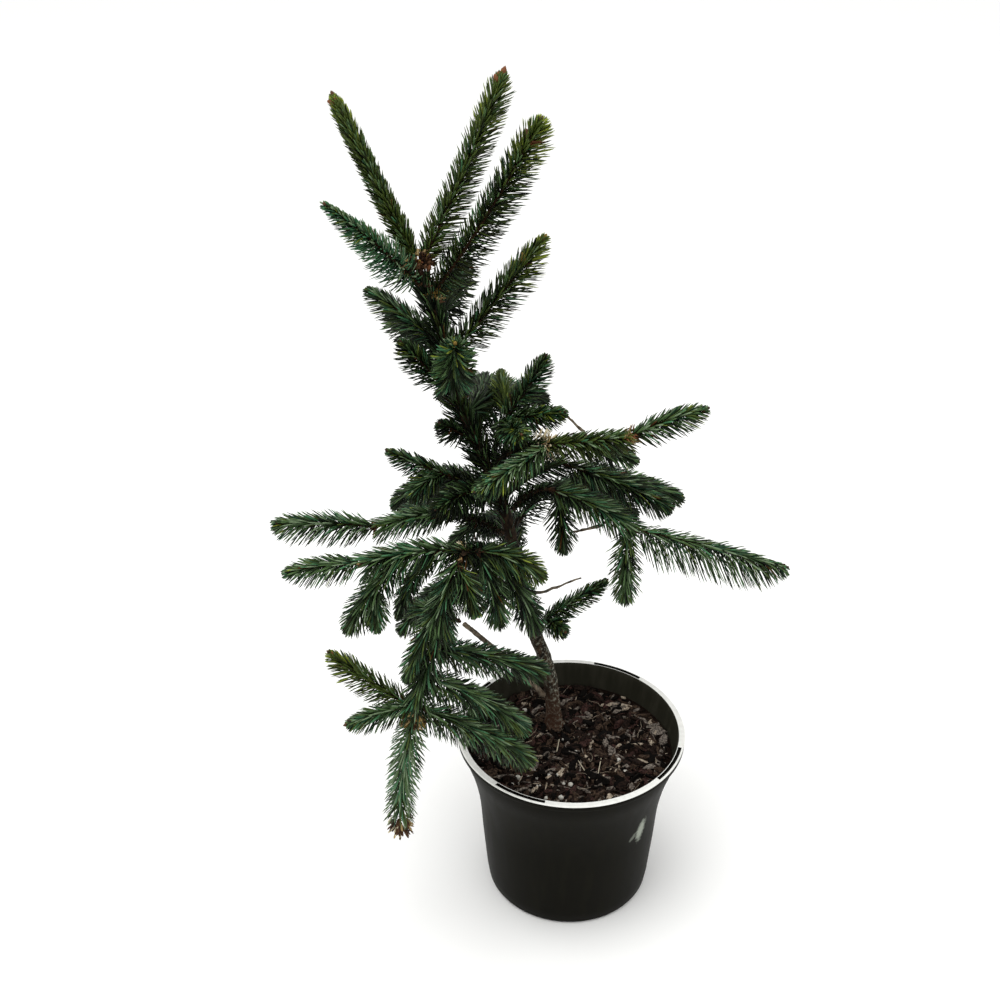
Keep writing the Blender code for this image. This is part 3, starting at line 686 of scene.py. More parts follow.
def deal(tone, lift, to_tip, rng):
    """Each needle's upper, lower and foot tint, with painted light and shade: lighter on top of a
    shoot, darker below it and darker at the foot, and fresh towards the tip."""
    weights, warm, cool, fresh = TONES[tone]
    count = len(to_tip)
    level = rng.choice(len(weights), count, p=weights)
    # painted light and shade: needles facing up are dealt a paler tint, those facing down a darker one
    level = np.where(rng.random(count) < 0.45 * lift, level + 1, level)
    level = np.where(rng.random(count) < -0.9 * lift, level - 1, level)
    level = np.clip(level, OLD, BAND_WAX)
    lower = np.where(rng.random(count) < 0.3, np.minimum(level + 1, BAND_WAX), level)
    # painted shade: the foot of each needle, where it meets the twig, is one tint darker
    tints = np.stack((level, lower, np.maximum(level - 1, OLD)), axis=1)
    hue = rng.random(count)
    is_warm, is_cool = hue < warm, hue > 1 - cool
    tints[is_warm] = WARM_OF[tints[is_warm]]
    tints[is_cool] = COOL_OF[tints[is_cool]]
    tints[rng.random(count) < FRESH_SHARE * fresh * to_tip] = (FRESH, OLIVE, OLIVE)
    tints[rng.random(count) < DRY_SHARE] = DRY
    return tints


def clear_of_wood(points, wood):
    """True where a point is clear of the pot and of every limb that it doesn't grow from."""
    radial = np.hypot(points[:, 0], points[:, 1])
    z = points[:, 2]
    top, outer, inner, ground = POT_ROOM
    clear = ~((z < top) & (radial < outer) & ((z < ground) | (radial > inner)))
    centres, radii = wood
    for start in range(0, len(points), 2000):
        rows = points[start:start + 2000]
        gaps = np.linalg.norm(rows[:, None] - centres[None], axis=2) - radii[None]
        clear[start:start + 2000] &= gaps.min(axis=1) > WOOD_ROOM
    return clear


def spokes_round(limb, t, turn):
    """The limb's direction at t, and directions square to it at each turn."""
    tangent = limb.tangent(t)
    normal = np.cross(limb.side, tangent)
    return tangent, limb.side * np.cos(turn)[:, None] + normal * np.sin(turn)[:, None]


def shoot_needles(limb, coat, tone, wood, rng, per_mm=PER_MM, bare=BARE, ends="tip",
                  tip_run=TIP_RUN, tip_bare=0.0):
    """Needles in a spiral along a limb, spread at its foot and pressed forwards at its tip.  A
    limb ends in a tip, in a node that younger shoots grow from, or anywhere."""
    length, angle, lean = coat
    run = limb.length * (1 - limb.begin)
    count = int(run * per_mm * FULL[1] / angle)
    share = (np.arange(count) + rng.uniform(0.3, 0.7, count)) / count
    share = share[(share * run > bare) & (share * run < run - tip_bare)]
    count = len(share)
    t = limb.begin + (1 - limb.begin) * share
    around = np.arange(count) * GOLDEN_ANGLE + rng.normal(0, TURN_ASTRAY, count)
    tangent, outward = spokes_round(limb, t, around)
    lift = outward[:, 2]

    def nearing(reach):
        return np.clip((share * run - run + reach) / reach, 0, 1) * (ends == "tip")

    to_tip = nearing(tip_run)
    foot, tip = SPREAD
    sweep = np.radians(angle) * (foot + (tip - foot) * share ** 1.5) * (1 - TIP_CLOSE * to_tip)
    sweep *= 1 - np.where(lift > 0, TOP_PRESS, UNDER_PRESS) * lift
    sweep += rng.normal(0, 0.07, count)
    way = outward * np.sin(sweep)[:, None] + tangent * np.cos(sweep)[:, None]
    up = np.maximum(0, lift)
    way[:, 2] += lean * (up - 1)
    way = unit(way)
    size = length * rng.uniform(*NEEDLE_VARIES, count) * (1 - TIP_CUT * to_tip ** 1.6)
    size *= 1 - 0.10 * lift - 0.8 * lean * up
    size *= np.clip(0.7 + (share * run - bare) / FOOT_RUN, 0.7, 1)
    across = unit(np.cross(tangent, way) + rng.normal(0, ROLL_ASTRAY, (count, 3)))
    across = unit(across - way * (across * way).sum(axis=1, keepdims=True))
    bend = tangent * SWEEP_FORWARD + np.array((0, 0, -SWEEP_DOWN)) + rng.normal(0, 0.03, (count, 3))
    base = limb.at(t) + outward * (0.6 * limb.radius(t) * np.ones(count))[:, None]
    clear = clear_of_wood(base + (way + bend) * size[:, None], wood)
    clear &= clear_of_wood(base + (way + bend * 0.5) * (size * 0.6)[:, None], wood)
    tints = deal(tone, lift, nearing(FRESH_RUN), rng)
    rows = [a[clear] for a in (base, way, across, bend, size)]
    width = NEEDLE_WIDTH * rng.uniform(*WIDTH_VARIES, clear.sum())
    return needle_part(*rows, width, width * NEEDLE_THICK / NEEDLE_WIDTH, tints[clear])


# ---- shoots, buds and scales
SHOOT_SIDES = 7
SHOOT_STEP = 2.5
SHOOT_R = 1.5  # life-size radius at a shoot's foot
SHOOT_TIP_R = 0.95
BUD_SIDES = 8
BUD_RINGS = ((0.0, 0.5), (0.12, 0.86), (0.34, 1.0), (0.58, 0.86), (0.82, 0.5))
BUD_LENGTH = 4.8
SMALL_BUD = 3.2
BUD_OFFSET = 1.5  # from the shoot's axis to a side bud's foot
SCALE_THICK = 0.35


def tube_part(centres, side, normal, radii, sides):
    """A closed tube through the centres, its rings spanned by side and normal."""
    turn = 2 * np.pi * np.arange(sides) / sides
    spokes = (side[:, None] * np.cos(turn)[None, :, None]
              + normal[:, None] * np.sin(turn)[None, :, None])
    verts = centres[:, None] + spokes * radii.reshape(len(centres), -1, 1)
    rows = len(centres)
    quads = np.array(ring_quads(rows, sides))
    ends = np.array((range(sides)[::-1], range((rows - 1) * sides, rows * sides)))
    return verts, [(quads, np.zeros(len(quads), int)), (ends, np.zeros(2, int))]


def shoot_wood(limb, foot, rng):
    steps = max(4, round(limb.length * (1 - limb.begin) / SHOOT_STEP))
    t = limb.shares(steps)
    tangent = limb.tangent(t)
    radii = np.interp(np.linspace(0, 1, steps + 1), (0, 0.1, 1), (foot, SHOOT_R * 0.92, SHOOT_TIP_R))
    radii = radii[:, None] * rng.uniform(0.88, 1.14, (steps + 1, SHOOT_SIDES))
    side = np.tile(limb.side, (steps + 1, 1))
    return tube_part(limb.at(t), side, np.cross(limb.side, tangent), radii, SHOOT_SIDES)


def strand(centres, radii, sides):
    """A closed tube through points that wander."""
    along = unit(np.gradient(centres, axis=0))
    side = unit(np.cross(along, (0, 0, 1.0)))
    return tube_part(centres, side, np.cross(side, along), radii, sides)


def bud_part(base, way, length, radius, tint):
    """Scaly ovoid buds, one for each row."""
    across = unit(np.cross(way, (0.31, 0.17, 0.93)))
    top = np.cross(way, across)
    points = []
    for i, (u, fat) in enumerate(BUD_RINGS):
        for k in range(BUD_SIDES):
            a = 2 * math.pi * (k + 0.5 * i) / BUD_SIDES
            scale = 1 + 0.13 * (-1) ** (k + i)
            spoke = across * math.cos(a) + top * math.sin(a)
            points.append(base + way * (length * u)[:, None] + spoke * (radius * fat * scale)[:, None])
    points.append(base + way * length[:, None])
    quads = ring_quads(len(BUD_RINGS), BUD_SIDES)
    tris = tip_tris(len(points) - 1 - BUD_SIDES, BUD_SIDES)
    faces = []
    for model in (quads, tris, [range(BUD_SIDES)[::-1]]):
        tints = np.repeat(tint[:, None], len(model), axis=1)
        faces.append(tile(model, tints, len(base), len(points)))
    return np.stack(points, axis=1), faces


def tip_buds(limb, size, tints, rng):
    """The end bud of a shoot and two or three smaller ones beside it."""
    count = 1 + int(rng.integers(2, 4))
    turn = rng.uniform(0, 2 * np.pi) + 2.1 * np.arange(count)
    spread = np.where(np.arange(count) == 0, 0.0, rng.uniform(0.6, 1.0, count))
    tangent, spokes = spokes_round(limb, 1.0, turn)
    way = unit(tangent + spokes * spread[:, None])
    base = limb.at(1.0) - tangent * np.where(spread == 0, 0.4, 2.2)[:, None] + spokes * (spread > 0)[:, None]
    length = size * np.where(spread == 0, BUD_LENGTH, SMALL_BUD) * rng.uniform(0.9, 1.15, count)
    return bud_part(base, way, length, length * 0.31, rng.choice(tints, count))


def flat_scales(base, way, across, bend, length, width, tint):
    """Dry papery bud scales, one for each row."""
    return needle_part(base, way, across, bend, length, width, np.full(len(base), SCALE_THICK),
                       np.repeat(tint[:, None], 3, axis=1))


def scales_round(limb, along, count, length, spread, tints, rng, stand=1.5):
    """Scales splayed round a limb at a share of its length, their feet so far off it."""
    turn = 2 * np.pi * np.arange(count) / count + rng.normal(0, 0.2, count)
    tangent, spokes = spokes_round(limb, along, turn)
    way = unit(tangent + spokes * (spread * rng.uniform(0.6, 1.5, count))[:, None])
    across = unit(np.cross(way, spokes) + 1e-6)
    base = limb.at(along + rng.uniform(-stand, stand, count) / limb.length)
    base = base + spokes * (stand * rng.uniform(0.4, 1, count))[:, None]
    length = length * rng.uniform(0.75, 1.2, count)
    return flat_scales(base, way, across, spokes * 0.15, length, np.minimum(length * 0.5, 2.4),
                       rng.choice(tints, count))


def side_bud(limb, along, side, length, tint):
    """One bud that stands out from the upper (1) or the lower side (-1) of a shoot."""
    tangent = limb.tangent(along)
    out = np.cross(limb.side, tangent) * -side
    base = limb.at(along) + out * BUD_OFFSET
    return bud_part(base[None], unit(tangent + out)[None], np.array([length]),
                    np.array([length * 0.36]), np.array([tint]))


# ---- pot
def bearing_to_slot(x, y):
    """Degrees from a direction to the middle of the nearest slot in the rim."""
    turn = (math.degrees(math.atan2(y, x)) - SLOT_FIRST) % (360 / SLOTS)
    return min(turn, 360 / SLOTS - turn)


def make_pot():
    slot = (BAND_OUTER - SLOT_EDGE, BAND_INNER + SLOT_EDGE)
    band = [(BAND_TOP, radius) for radius in (BAND_OUTER, *slot, BAND_INNER)]
    pot = turned("pot_shell", POT_SIDES, [*POT_OUTER, *FLANGE, *band, *POT_INNER])
    close_rest(pot)

    def in_slot(face):
        c = face.calc_center_median() / MM
        on_band = abs(c.z - BAND_TOP) < 0.1 and slot[1] < math.hypot(c.x, c.y) < slot[0]
        return on_band and bearing_to_slot(c.x, c.y) < SLOT_SPAN / 2

    pick(pot, "FACE", in_slot)
    bpy.ops.mesh.extrude_region_move(TRANSFORM_OT_translate={"value": (0, 0, -SLOT_DEPTH * MM)})
    outside = pot_material("moulded_polypropylene", "0d0c07", "16150d")
    # the inside of the wall is given a much paler copy of the plastic than the outside
    inside = pot_material("paler_inner_polypropylene", "2a2921", "3c3a31")
    finish_mesh(pot, (outside, rim_highlight_material(), inside), 38)
    for face in pot.data.polygons:
        x, y, z = face.center / MM
        radial = math.hypot(x, y)
        # the rim's flat top and the flange's face above BAND_FOOT take the painted highlight
        if (z > BAND_TOP - 0.1 and face.normal.z > 0.9) or (z > BAND_FOOT and radial > BAND_OUTER):
            face.material_index = 1
        elif face.normal.x * x + face.normal.y * y < 0 and radial < BAND_INNER + 0.1:
            face.material_index = 2
    carry(pot, "pot", "pot")


# ---- compost
BED_SIDES = 110
BED_STEP = 3.4  # from ring to ring across the bed
BED_EDGE = 9.0  # width at the wall in which the uneven top levels out
UNEVEN = (("swell", 38.0, 5.0), ("crumbs", 7.0, 2.2))  # name, size across, rise


def make_bed():
    """The compost, whole to the pot's floor, with an uneven crumbly top."""
    heights, radii = zip(*reversed(POT_INNER))
    brim = COMPOST_TOP - 1.0
    levels = [heights[0] + BED_GAP] + [z for z in heights if heights[0] < z < brim] + [brim]
    rows = [(z, float(np.interp(z, heights, radii)) - BED_GAP) for z in levels]
    rim = rows[-1][1]
    rings = int(rim / BED_STEP)
    rows += [(brim, rim * (1 - i / rings)) for i in range(1, rings)]
    bed = turned("compost_bed", BED_SIDES, rows)
    bpy.ops.mesh.poke()
    close_rest(bed)
    finish_mesh(bed, (compost_material(),), 60)
    top = bed.vertex_groups.new(name="top")
    for v in bed.data.vertices:
        r = math.hypot(v.co.x, v.co.y) / MM
        if v.co.z > (brim - 0.1) * MM:
            top.add([v.index], min(1.0, (rim - r) / BED_EDGE), "REPLACE")
    for name, size, rise in UNEVEN:
        texture = bpy.data.textures.new(name, "CLOUDS")
        texture.noise_scale = size * MM
        texture.noise_depth = 2
        move = bed.modifiers.new(name, "DISPLACE")
        move.texture = texture
        move.texture_coords = "LOCAL"
        move.direction = "Z"
        move.strength = rise * MM
        move.mid_level = 0.5
        move.vertex_group = "top"
    bpy.context.view_layer.objects.active = bed
    for name, *_ in UNEVEN:
        bpy.ops.object.modifier_apply(modifier=name)
    carry(bed, "compost", "compost")
    return bed


CHIP_CORNERS = 6
CHIP_COUNT = 2700
CHIP_THICK = (0.6, 2.4)  # least and most
CHIP_TILT = 0.65  # radians, most of the chips lie flatter
BRIM = 102.5  # the compost's radius at its top
CHIP_SIZES = (  # share of the chips, least and most length, least and most width over length
    (0.34, 3.0, 7.0, 0.3, 0.6), (0.30, 6.0, 12.0, 0.25, 0.55), (0.14, 10.0, 20.0, 0.3, 0.55),
    (0.22, 8.0, 20.0, 0.06, 0.13),
)
CHIP_SHARES = (0.32, 0.21, 0.08, 0.08, 0.02, 0.29)  # of the chips' tints, in their order; the dark and black shares are partly painted shade
SLIVER_SHARES = (0.20, 0.28, 0.10, 0.20, 0.07, 0.15)  # and of the slivers', paler, partly real pale slivers and partly painted highlights on chip edges
FLAKES = (  # x, y, length, width, heading, tint: the big pale flakes on the top
    (95, 12, 20, 10, 80, CHIP_GREY), (80, -29, 20, 9, 20, CHIP_GREY), (43, 67, 22, 8, 12, CHIP_TAN),
    (42, -14, 13, 4, -20, CHIP_GREY), (45, 13, 17, 4, 0, CHIP_GREY), (68, 52, 14, 5, -40, CHIP_BROWN),
    (78, 40, 15, 4, -65, CHIP_GREY), (72, 46, 11, 3, -35, CHIP_GREY), (0, 74, 14, 6, 30, CHIP_GREY),
    (13, 4, 15, 13, 40, CHIP_RED), (18, 9, 9, 7, 10, CHIP_RED), (-8, 2, 16, 5, -70, CHIP_BROWN),
    (60, 60, 10, 4, 20, CHIP_TAN), (30, 30, 13, 6, 60, CHIP_BROWN), (20, 52, 12, 5, 120, CHIP_GREY),
)
FLAKE_RISE = 2.6  # above the compost
FLAKE_THICK = 1.8


def level(turn):
    """Level directions at each bearing."""
    return np.stack((np.cos(turn), np.sin(turn), np.zeros(len(turn))), axis=1)


def chip_part(centres, length, width, thick, yaw, tilt, tint, rng):
    """Irregular six-cornered flakes, a little curled, one for each row."""
    count, n = len(centres), CHIP_CORNERS
    turn = 2 * np.pi * np.arange(n) / n + rng.normal(0, 0.22, (count, n))
    reach = rng.uniform(0.72, 1.12, (count, n))
    x = np.cos(turn) * reach * length[:, None] / 2
    y = np.sin(turn) * reach * width[:, None] / 2
    curl = 0.035 * x ** 2 / length[:, None] * rng.normal(0, 2.2, count)[:, None]
    levels = []
    for side, shrink in ((-1, 1.0), (1, 0.86)):
        z = curl + side * thick[:, None] / 2 + rng.normal(0, 0.12, x.shape) * thick[:, None]
        levels.append(np.stack((x * shrink, y * shrink, z), axis=2))
    verts = np.concatenate(levels, axis=1)
    upright = np.array((0, 0, 1.0))
    axes = level(yaw)
    cross = np.cross(upright, axes)
    cos, sin = np.cos(tilt)[:, None], np.sin(tilt)[:, None]
    rise = upright * cos + cross * sin
    flat = cross * cos - upright * sin
    verts = (verts[:, :, 0:1] * axes[:, None] + verts[:, :, 1:2] * flat[:, None]
             + verts[:, :, 2:3] * rise[:, None]) + centres[:, None]
    faces = []
    for model in (ring_quads(2, n), (range(n)[::-1], range(n, 2 * n))):
        faces.append(tile(model, np.repeat(tint[:, None], len(model), axis=1), count, 2 * n))
    return verts, faces


def on_bed(bed, x, y, above=0.0):
    """Places so far above the compost, as rows of x, y and z."""
    z = []
    for px, py in zip(x, y):
        hit, place, _, _ = bed.ray_cast(Vector((px * MM, py * MM, 0.3)), Vector((0, 0, -1)))
        z.append((place.z / MM if hit else COMPOST_TOP) + above)
    return np.stack((x, y, z), axis=1).astype(float)


def scatter(bed, count, rng, most=97.0):
    """Places on the compost, at most so far from its middle."""
    r = most * np.sqrt(rng.random(count))
    a = 2 * np.pi * rng.random(count)
    return on_bed(bed, r * np.cos(a), r * np.sin(a))


def make_chips(bed, rng):
    parts = []
    for share, least, most, slim, broad in CHIP_SIZES:
        count = int(CHIP_COUNT * share)
        length = rng.uniform(least, most, count)
        places = scatter(bed, count, rng, BRIM - 0.5 - 0.36 * length)
        width = length * rng.uniform(slim, broad, count)
        thick = np.clip(length * rng.uniform(0.10, 0.22, count), *CHIP_THICK)
        tilt = rng.normal(0, CHIP_TILT, count)
        places[:, 2] += thick * 0.5 + np.abs(np.sin(tilt)) * width * 0.3
        tint = rng.choice(len(CHIP_SHARES), count, p=SLIVER_SHARES if broad < 0.2 else CHIP_SHARES)
        yaw = rng.uniform(0, 2 * np.pi, count)
        parts.append(chip_part(places, length, width, thick, yaw, tilt, tint, rng))
    x, y, length, width, heading, tint = (np.array(column) for column in zip(*FLAKES))
    count = len(x)
    parts.append(chip_part(on_bed(bed, x, y, FLAKE_RISE), length, width, np.full(count, FLAKE_THICK),
                           np.radians(heading), rng.normal(0, 0.2, count), tint, rng))
    tints = [chip_material(*row) for row in CHIP_TINTS]
    carry(array_piece("bark_chips", parts, tints, smooth=False), "compost")


PERLITE = 12  # grains all over, and then more of them at the front left
PERLITE_SIZE = (1.6, 6.0)
FRONT = ((-70, 0), (-88, -30), 24, 94)  # x from and to, y from and to, how many, how far out
FIBRES = 34
FIBRE_STEPS = 9
STRAWS = (  # straight pale stalks on the top: x and y of their ends
    ((7, -23), (17, -48)), ((30, -19), (25, -46)), ((-11, 10), (-14, -8)), ((-75, 30), (-58, 44)),
)


def grit_strand(centres, radii, sides, tint):
    verts, faces = strand(centres, radii, sides)
    return verts, [(f, t + tint) for f, t in faces]


def make_grit(bed, rng):
    """White perlite, most of it at the front left, and fine pale root fibres and straws."""
    (x0, x1), (y0, y1), near, out = FRONT
    places = scatter(bed, PERLITE, rng)
    x, y = rng.uniform(x0, x1, near), rng.uniform(y0, y1, near)
    inside = np.hypot(x, y) < out
    places = np.concatenate((places, on_bed(bed, x[inside], y[inside])))
    count = len(places)
    places[:, 2] += 1.4
    size = rng.uniform(*PERLITE_SIZE, count)
    parts = [bud_part(places, unit(rng.normal(0, 1, (count, 3))), size, size * 0.45,
                      np.zeros(count, int))]
    for x, y, z in scatter(bed, FIBRES, rng, 90):
        heading = rng.uniform(0, 2 * np.pi) + np.cumsum(rng.normal(0, 0.30, FIBRE_STEPS + 1))
        step = rng.uniform(9, 30) / FIBRE_STEPS
        move = level(heading)
        move[:, 2] = rng.normal(0, 0.18, FIBRE_STEPS + 1)
        centres = np.array((x, y, z + 2.8)) + np.cumsum(move * step, axis=0)
        centres = centres[np.hypot(centres[:, 0], centres[:, 1]) < 99]
        if len(centres) >= 4:
            parts.append(grit_strand(centres, np.linspace(0.36, 0.16, len(centres)), 4, 1))
    for ends in STRAWS:
        centres = on_bed(bed, *np.linspace(*ends, 6).T, 3.4)
        top = centres[:, 2].max()
        centres[:, 2] = np.linspace(top, top - 0.5, 6)
        parts.append(grit_strand(centres, np.full(6, 0.55), 5, 2))
    carry(array_piece("perlite_and_fibres", parts, plains(GRIT_TINTS)), "compost")


# ---- trunk and boughs
TRUNK_RINGS = 200
TRUNK_ROUND = 44
FOOT_RINGS = 22  # closer rings on the root flare
FOOT_RISE = 36
PEG_RISE = 0.35  # how far the pegs of fallen needles stand out
SCALE_RISE = 0.5  # and the bark's scales lower down
LUMP_RISE = 0.8
BOUGH_STEP = 2.0
BOUGH_ROUND = 20
BOUGH_RISE = 0.45


def limb_mesh(name, centres, tangents, radii, sides):
    """A closed tube of bark along a limb, drawn ring by ring in edit mode."""
    limb = new_ring(name, sides, radii[0], centres[0] * MM, "NGON",
                    rotation=Vector(tangents[0]).to_track_quat("Z", "Y").to_euler())
    for i in range(1, len(centres)):
        bpy.ops.mesh.extrude_region_move(
            TRANSFORM_OT_translate={"value": (centres[i] - centres[i - 1]) * MM})
        share = radii[i] / radii[i - 1]
        bpy.ops.transform.resize(value=(share,) * 3, center_override=centres[i] * MM)
    return limb


def roughen(limb, curve, relief):
    """Move every vertex of a limb out from its axis by the relief there."""
    for v in limb.data.vertices:
        out = v.co - curve(v.co)
        if out.length > 1e-6:
            v.co += out.normalized() * (relief(v.co / MM, out) * MM)


def trunk_relief(p, out):
    """Scaly bark at the foot turning to spiral pegs further up."""
    turn = math.atan2(out.y, out.x)
    old = min(1.0, max(0.0, (430 - p.z) / 220))
    pegs = max(0.0, math.sin(5 * turn + p.z * 0.55)) * max(0.0, math.sin(3 * turn - p.z * 0.42))
    scales = noise.fractal(Vector((p.x * 0.30, p.y * 0.30, p.z * 0.13)), 0.8, 2.1, 4)
    lumps = noise.noise(Vector((p.x * 0.05, p.y * 0.05, p.z * 0.045)))
    return PEG_RISE * pegs * (1.3 - old) + SCALE_RISE * scales * (0.35 + old) + LUMP_RISE * lumps * old


def bough_relief(p, out):
    return BOUGH_RISE * noise.fractal(p * 0.35, 0.8, 2.1, 3)


def make_trunk(trunk, bark):
    flare_top = TRUNK_FOOT + FOOT_RISE
    levels = np.concatenate((TRUNK_FOOT + np.linspace(0, FOOT_RISE, FOOT_RINGS),
                             np.linspace(flare_top, TRUNK_TOP, TRUNK_RINGS)[1:]))
    centres = np.array([trunk.at(z) for z in levels])
    radii = np.array([trunk.radius(z) for z in levels])
    limb = limb_mesh("trunk_bark", centres, [(0, 0, 1)], radii, TRUNK_ROUND)
    finish_mesh(limb, (bark,), 60)

    def axis(co):
        return Vector(trunk.at(min(TRUNK_TOP, max(TRUNK_FOOT, co.z / MM)))) * MM

    roughen(limb, axis, trunk_relief)
    carry(limb, "trunk", "trunk")


def make_bough(name, limb, bark):
    t = limb.shares(round(limb.length * (1 - limb.begin) / BOUGH_STEP))
    piece = limb_mesh("bark_bough_" + name, limb.at(t), limb.tangent(t), limb.radius(t), BOUGH_ROUND)
    finish_mesh(piece, (bark,), 60)

    def axis(co):
        share = float(np.clip((np.array(co / MM) - limb.start) @ limb.way / limb.length, limb.begin, 1))
        return Vector(limb.at(share)) * MM

    roughen(piece, axis, bough_relief)
    carry(piece, "bough_" + name, "bough_" + name)


# ---- the crown
BOUGH_COAT = (20.0, 56, 0.10)
THIN_COAT = (11.0, 56, 0.05)
THIN_BOUGHS = ("right_long", "left_long")
BARE_BOUGHS = ("low_left",)
BOUGH_PER_MM = 3.2
BOUGH_BARE = 5
LEADER_COAT = (23.0, 36, 0.0)
LEADERS = (  # heights between which the trunk still carries needles, how many on each mm
    (425.0, 662.0, 2.6), (300.0, 425.0, 0.35),
)
WOOD_STEP = 3.0  # between the places where limbs keep needles of other limbs off


def wood_points(limbs, own=None):
    """Points along the trunk and boughs with their radii, for the needles of another limb."""
    places = {"trunk": np.arange(TRUNK_FOOT, TRUNK_TOP, WOOD_STEP)}
    for name, *_ in BOUGHS:
        limb = limbs[name]
        places[name] = np.linspace(limb.begin, 1, max(3, round(limb.length / WOOD_STEP)))
    pairs = [(limbs[name], t) for name, row in places.items() if name != own for t in row]
    return np.array([limb.at(t) for limb, t in pairs]), np.array([limb.radius(t) for limb, t in pairs])


PLAIN_SCALES = (BROWN, UMBER, UMBER)
COLLARS = {  # tints of the scales at the foot of a mass's shoots, where not plain
    "right_high": (STRAW, STRAW, ORANGE), "front_hanging": (ORANGE, STRAW, BROWN),
    "front_left": (STRAW, BROWN), "left_long": (STRAW, BROWN, UMBER),
}
PLAIN_BUDS = (1.0, (BROWN, UMBER, UMBER))
BUDS = {  # mass and number of the shoot: how large its end buds are, their tints
    "top_left 0": (1.4, (ORANGE, BROWN)), "top_centre 0": (1.6, (ORANGE, ORANGE, BROWN)),
    "top_right 0": (1.3, (GOLD, BROWN)), "front_tuft 0": (1.1, (GOLD, STRAW)),
    "upper_right 0": (1.2, (GOLD, BROWN)), "right_high 0": (1.7, (GOLD, ORANGE, STRAW)),
    "right_high 1": (1.1, (BROWN, UMBER)), "left_long 0": (1.4, (BROWN, STRAW)),
    "front_hanging 1": (1.8, (GOLD, ORANGE, STRAW)), "front_hanging 6": (1.3, (UMBER, BROWN, STRAW)),
    "front_hanging 5": (1.3, (UMBER, BROWN)), "front_hanging 4": (1.3, (BROWN, ORANGE)),
}
SIDE_BUDS = (  # mass, how far along its stem, upper or lower side, length, tint
    ("top_right", 0.91, 1, 9.0, BROWN), ("top_right", 0.89, -1, 10.0, ORANGE),
    ("upper_right", 0.80, 1, 10.0, GOLD), ("top_left", 0.97, -1, 7.0, ORANGE),
    ("upper_right", 0.79, -1, 8.0, BROWN),
    ("top_centre", 0.965, 1, 8.0, ORANGE), ("top_centre", 0.97, -1, 7.5, ORANGE),
)
STARS = {  # share along it (None: foot), off the stem, scales, length, spread, tints
    "right_high 0": (None, 8.5, 100, 8.0, 1.6, (CREAM, CREAM, STRAW)),
    "front_left 0": (None, 4.0, 30, 6.0, 1.8, (CREAM, STRAW, STRAW)),
    "left_long 0": (1.0, 3.5, 26, 6.0, 1.2, (BROWN, STRAW, UMBER)),
    "right_high 1": (None, 4.5, 46, 6.5, 1.3, (GOLD, STRAW, ORANGE)),
    "front_hanging 1": (1.0, 8.5, 130, 6.0, 1.5, (GOLD, STRAW, BROWN, STRAW)),
    "front_hanging 6": (0.91, 8.0, 140, 7.0, 0.8, (BROWN, STRAW, UMBER, BROWN, CREAM)),
}
WHORLS = (  # height on the trunk, x from its axis, how many buds, how far out, size, tints
    (685, 1, 60, 15.0, 1.0, (BROWN, BROWN, UMBER, ORANGE)),
    (690, 3, 50, 15.0, 0.8, (BROWN, STRAW, GOLD, UMBER)),
    (668, 1, 16, 4.0, 1.2, (BROWN, UMBER)), (655, 7, 44, 6.0, 0.8, (GOLD, STRAW, BROWN)),
    (598, 0, 6, 6.0, 1.0, (BROWN, UMBER)), (552, 0, 6, 6.0, 1.0, (BROWN, UMBER)),
)
NODE_REACH = 8.0  # a shoot that starts this near another's end carries it on


def make_whorls(trunk, rng):
    """Clusters of resting buds where a year's growth ended on the trunk."""
    parts = []
    for height, shift, count, out, size, tints in WHORLS:
        spokes = level(2 * np.pi * np.arange(count) / count + rng.normal(0, 0.3, count))
        share = rng.uniform(0.1, 1.0, count)
        base = trunk.at(height) + spokes * (out * share)[:, None]
        base[:, 0] += shift
        base[:, 2] += rng.uniform(-6, 3, count) - 4 * share
        way = unit(spokes * 0.8 + np.array((0, 0, 0.9)) + rng.normal(0, 0.25, (count, 3)))
        length = size * rng.uniform(4.0, 6.5, count)
        tint = rng.choice(tints, count)
        parts.append(bud_part(base, way, length, length * 0.30, tint))
        across = unit(np.cross(way, spokes + rng.normal(0, 0.3, (count, 3))))
        parts.append(flat_scales(base, unit(way + spokes * 0.6), across, spokes * 0.2, length * 1.5,
                                 np.full(count, 2.2), tint))
    carry(array_piece("buds_trunk", parts, plains(SCALE_TINTS)), "mass_top_centre")


DEAD_TWIGS = (  # points along each bare dead twig, from the wood that it grows from
    ((-48, 30, 333), (-32, 22, 339), (-17, 20, 346), (6, 20, 358)),
    ((32, -20, 453), (22, -12, 438), (4, -10, 431), (-9, -10, 428)),
    ((8, 24, 509), (4, 30, 513), (-8, 30, 526), (-17, 30, 533)),
)
DEAD_TWIG_R = 1.5
DEAD_TWIG_RINGS = 16


def make_dead_twigs(bark, rng):
    parts = []
    rings = DEAD_TWIG_RINGS
    for way in DEAD_TWIGS:
        steps = np.linspace(0, len(way) - 1, rings)
        centres = np.stack([np.interp(steps, range(len(way)), column) for column in zip(*way)], axis=1)
        centres[1:] += rng.normal(0, 0.4, (rings - 1, 3))
        radii = DEAD_TWIG_R * np.linspace(1.2, 0.6, rings) * rng.uniform(0.8, 1.25, rings)
        parts.append(strand(centres, radii, 6))
    carry(array_piece("twigs_dead", parts, (bark,)), "mass_right_low")


def carries_on(limb, shoots):
    """Whether younger shoots grow from the limb's very end."""
    end = limb.at(1.0)
    return any(np.linalg.norm(other.start - end) < NODE_REACH for other, *_ in shoots if other is not limb)


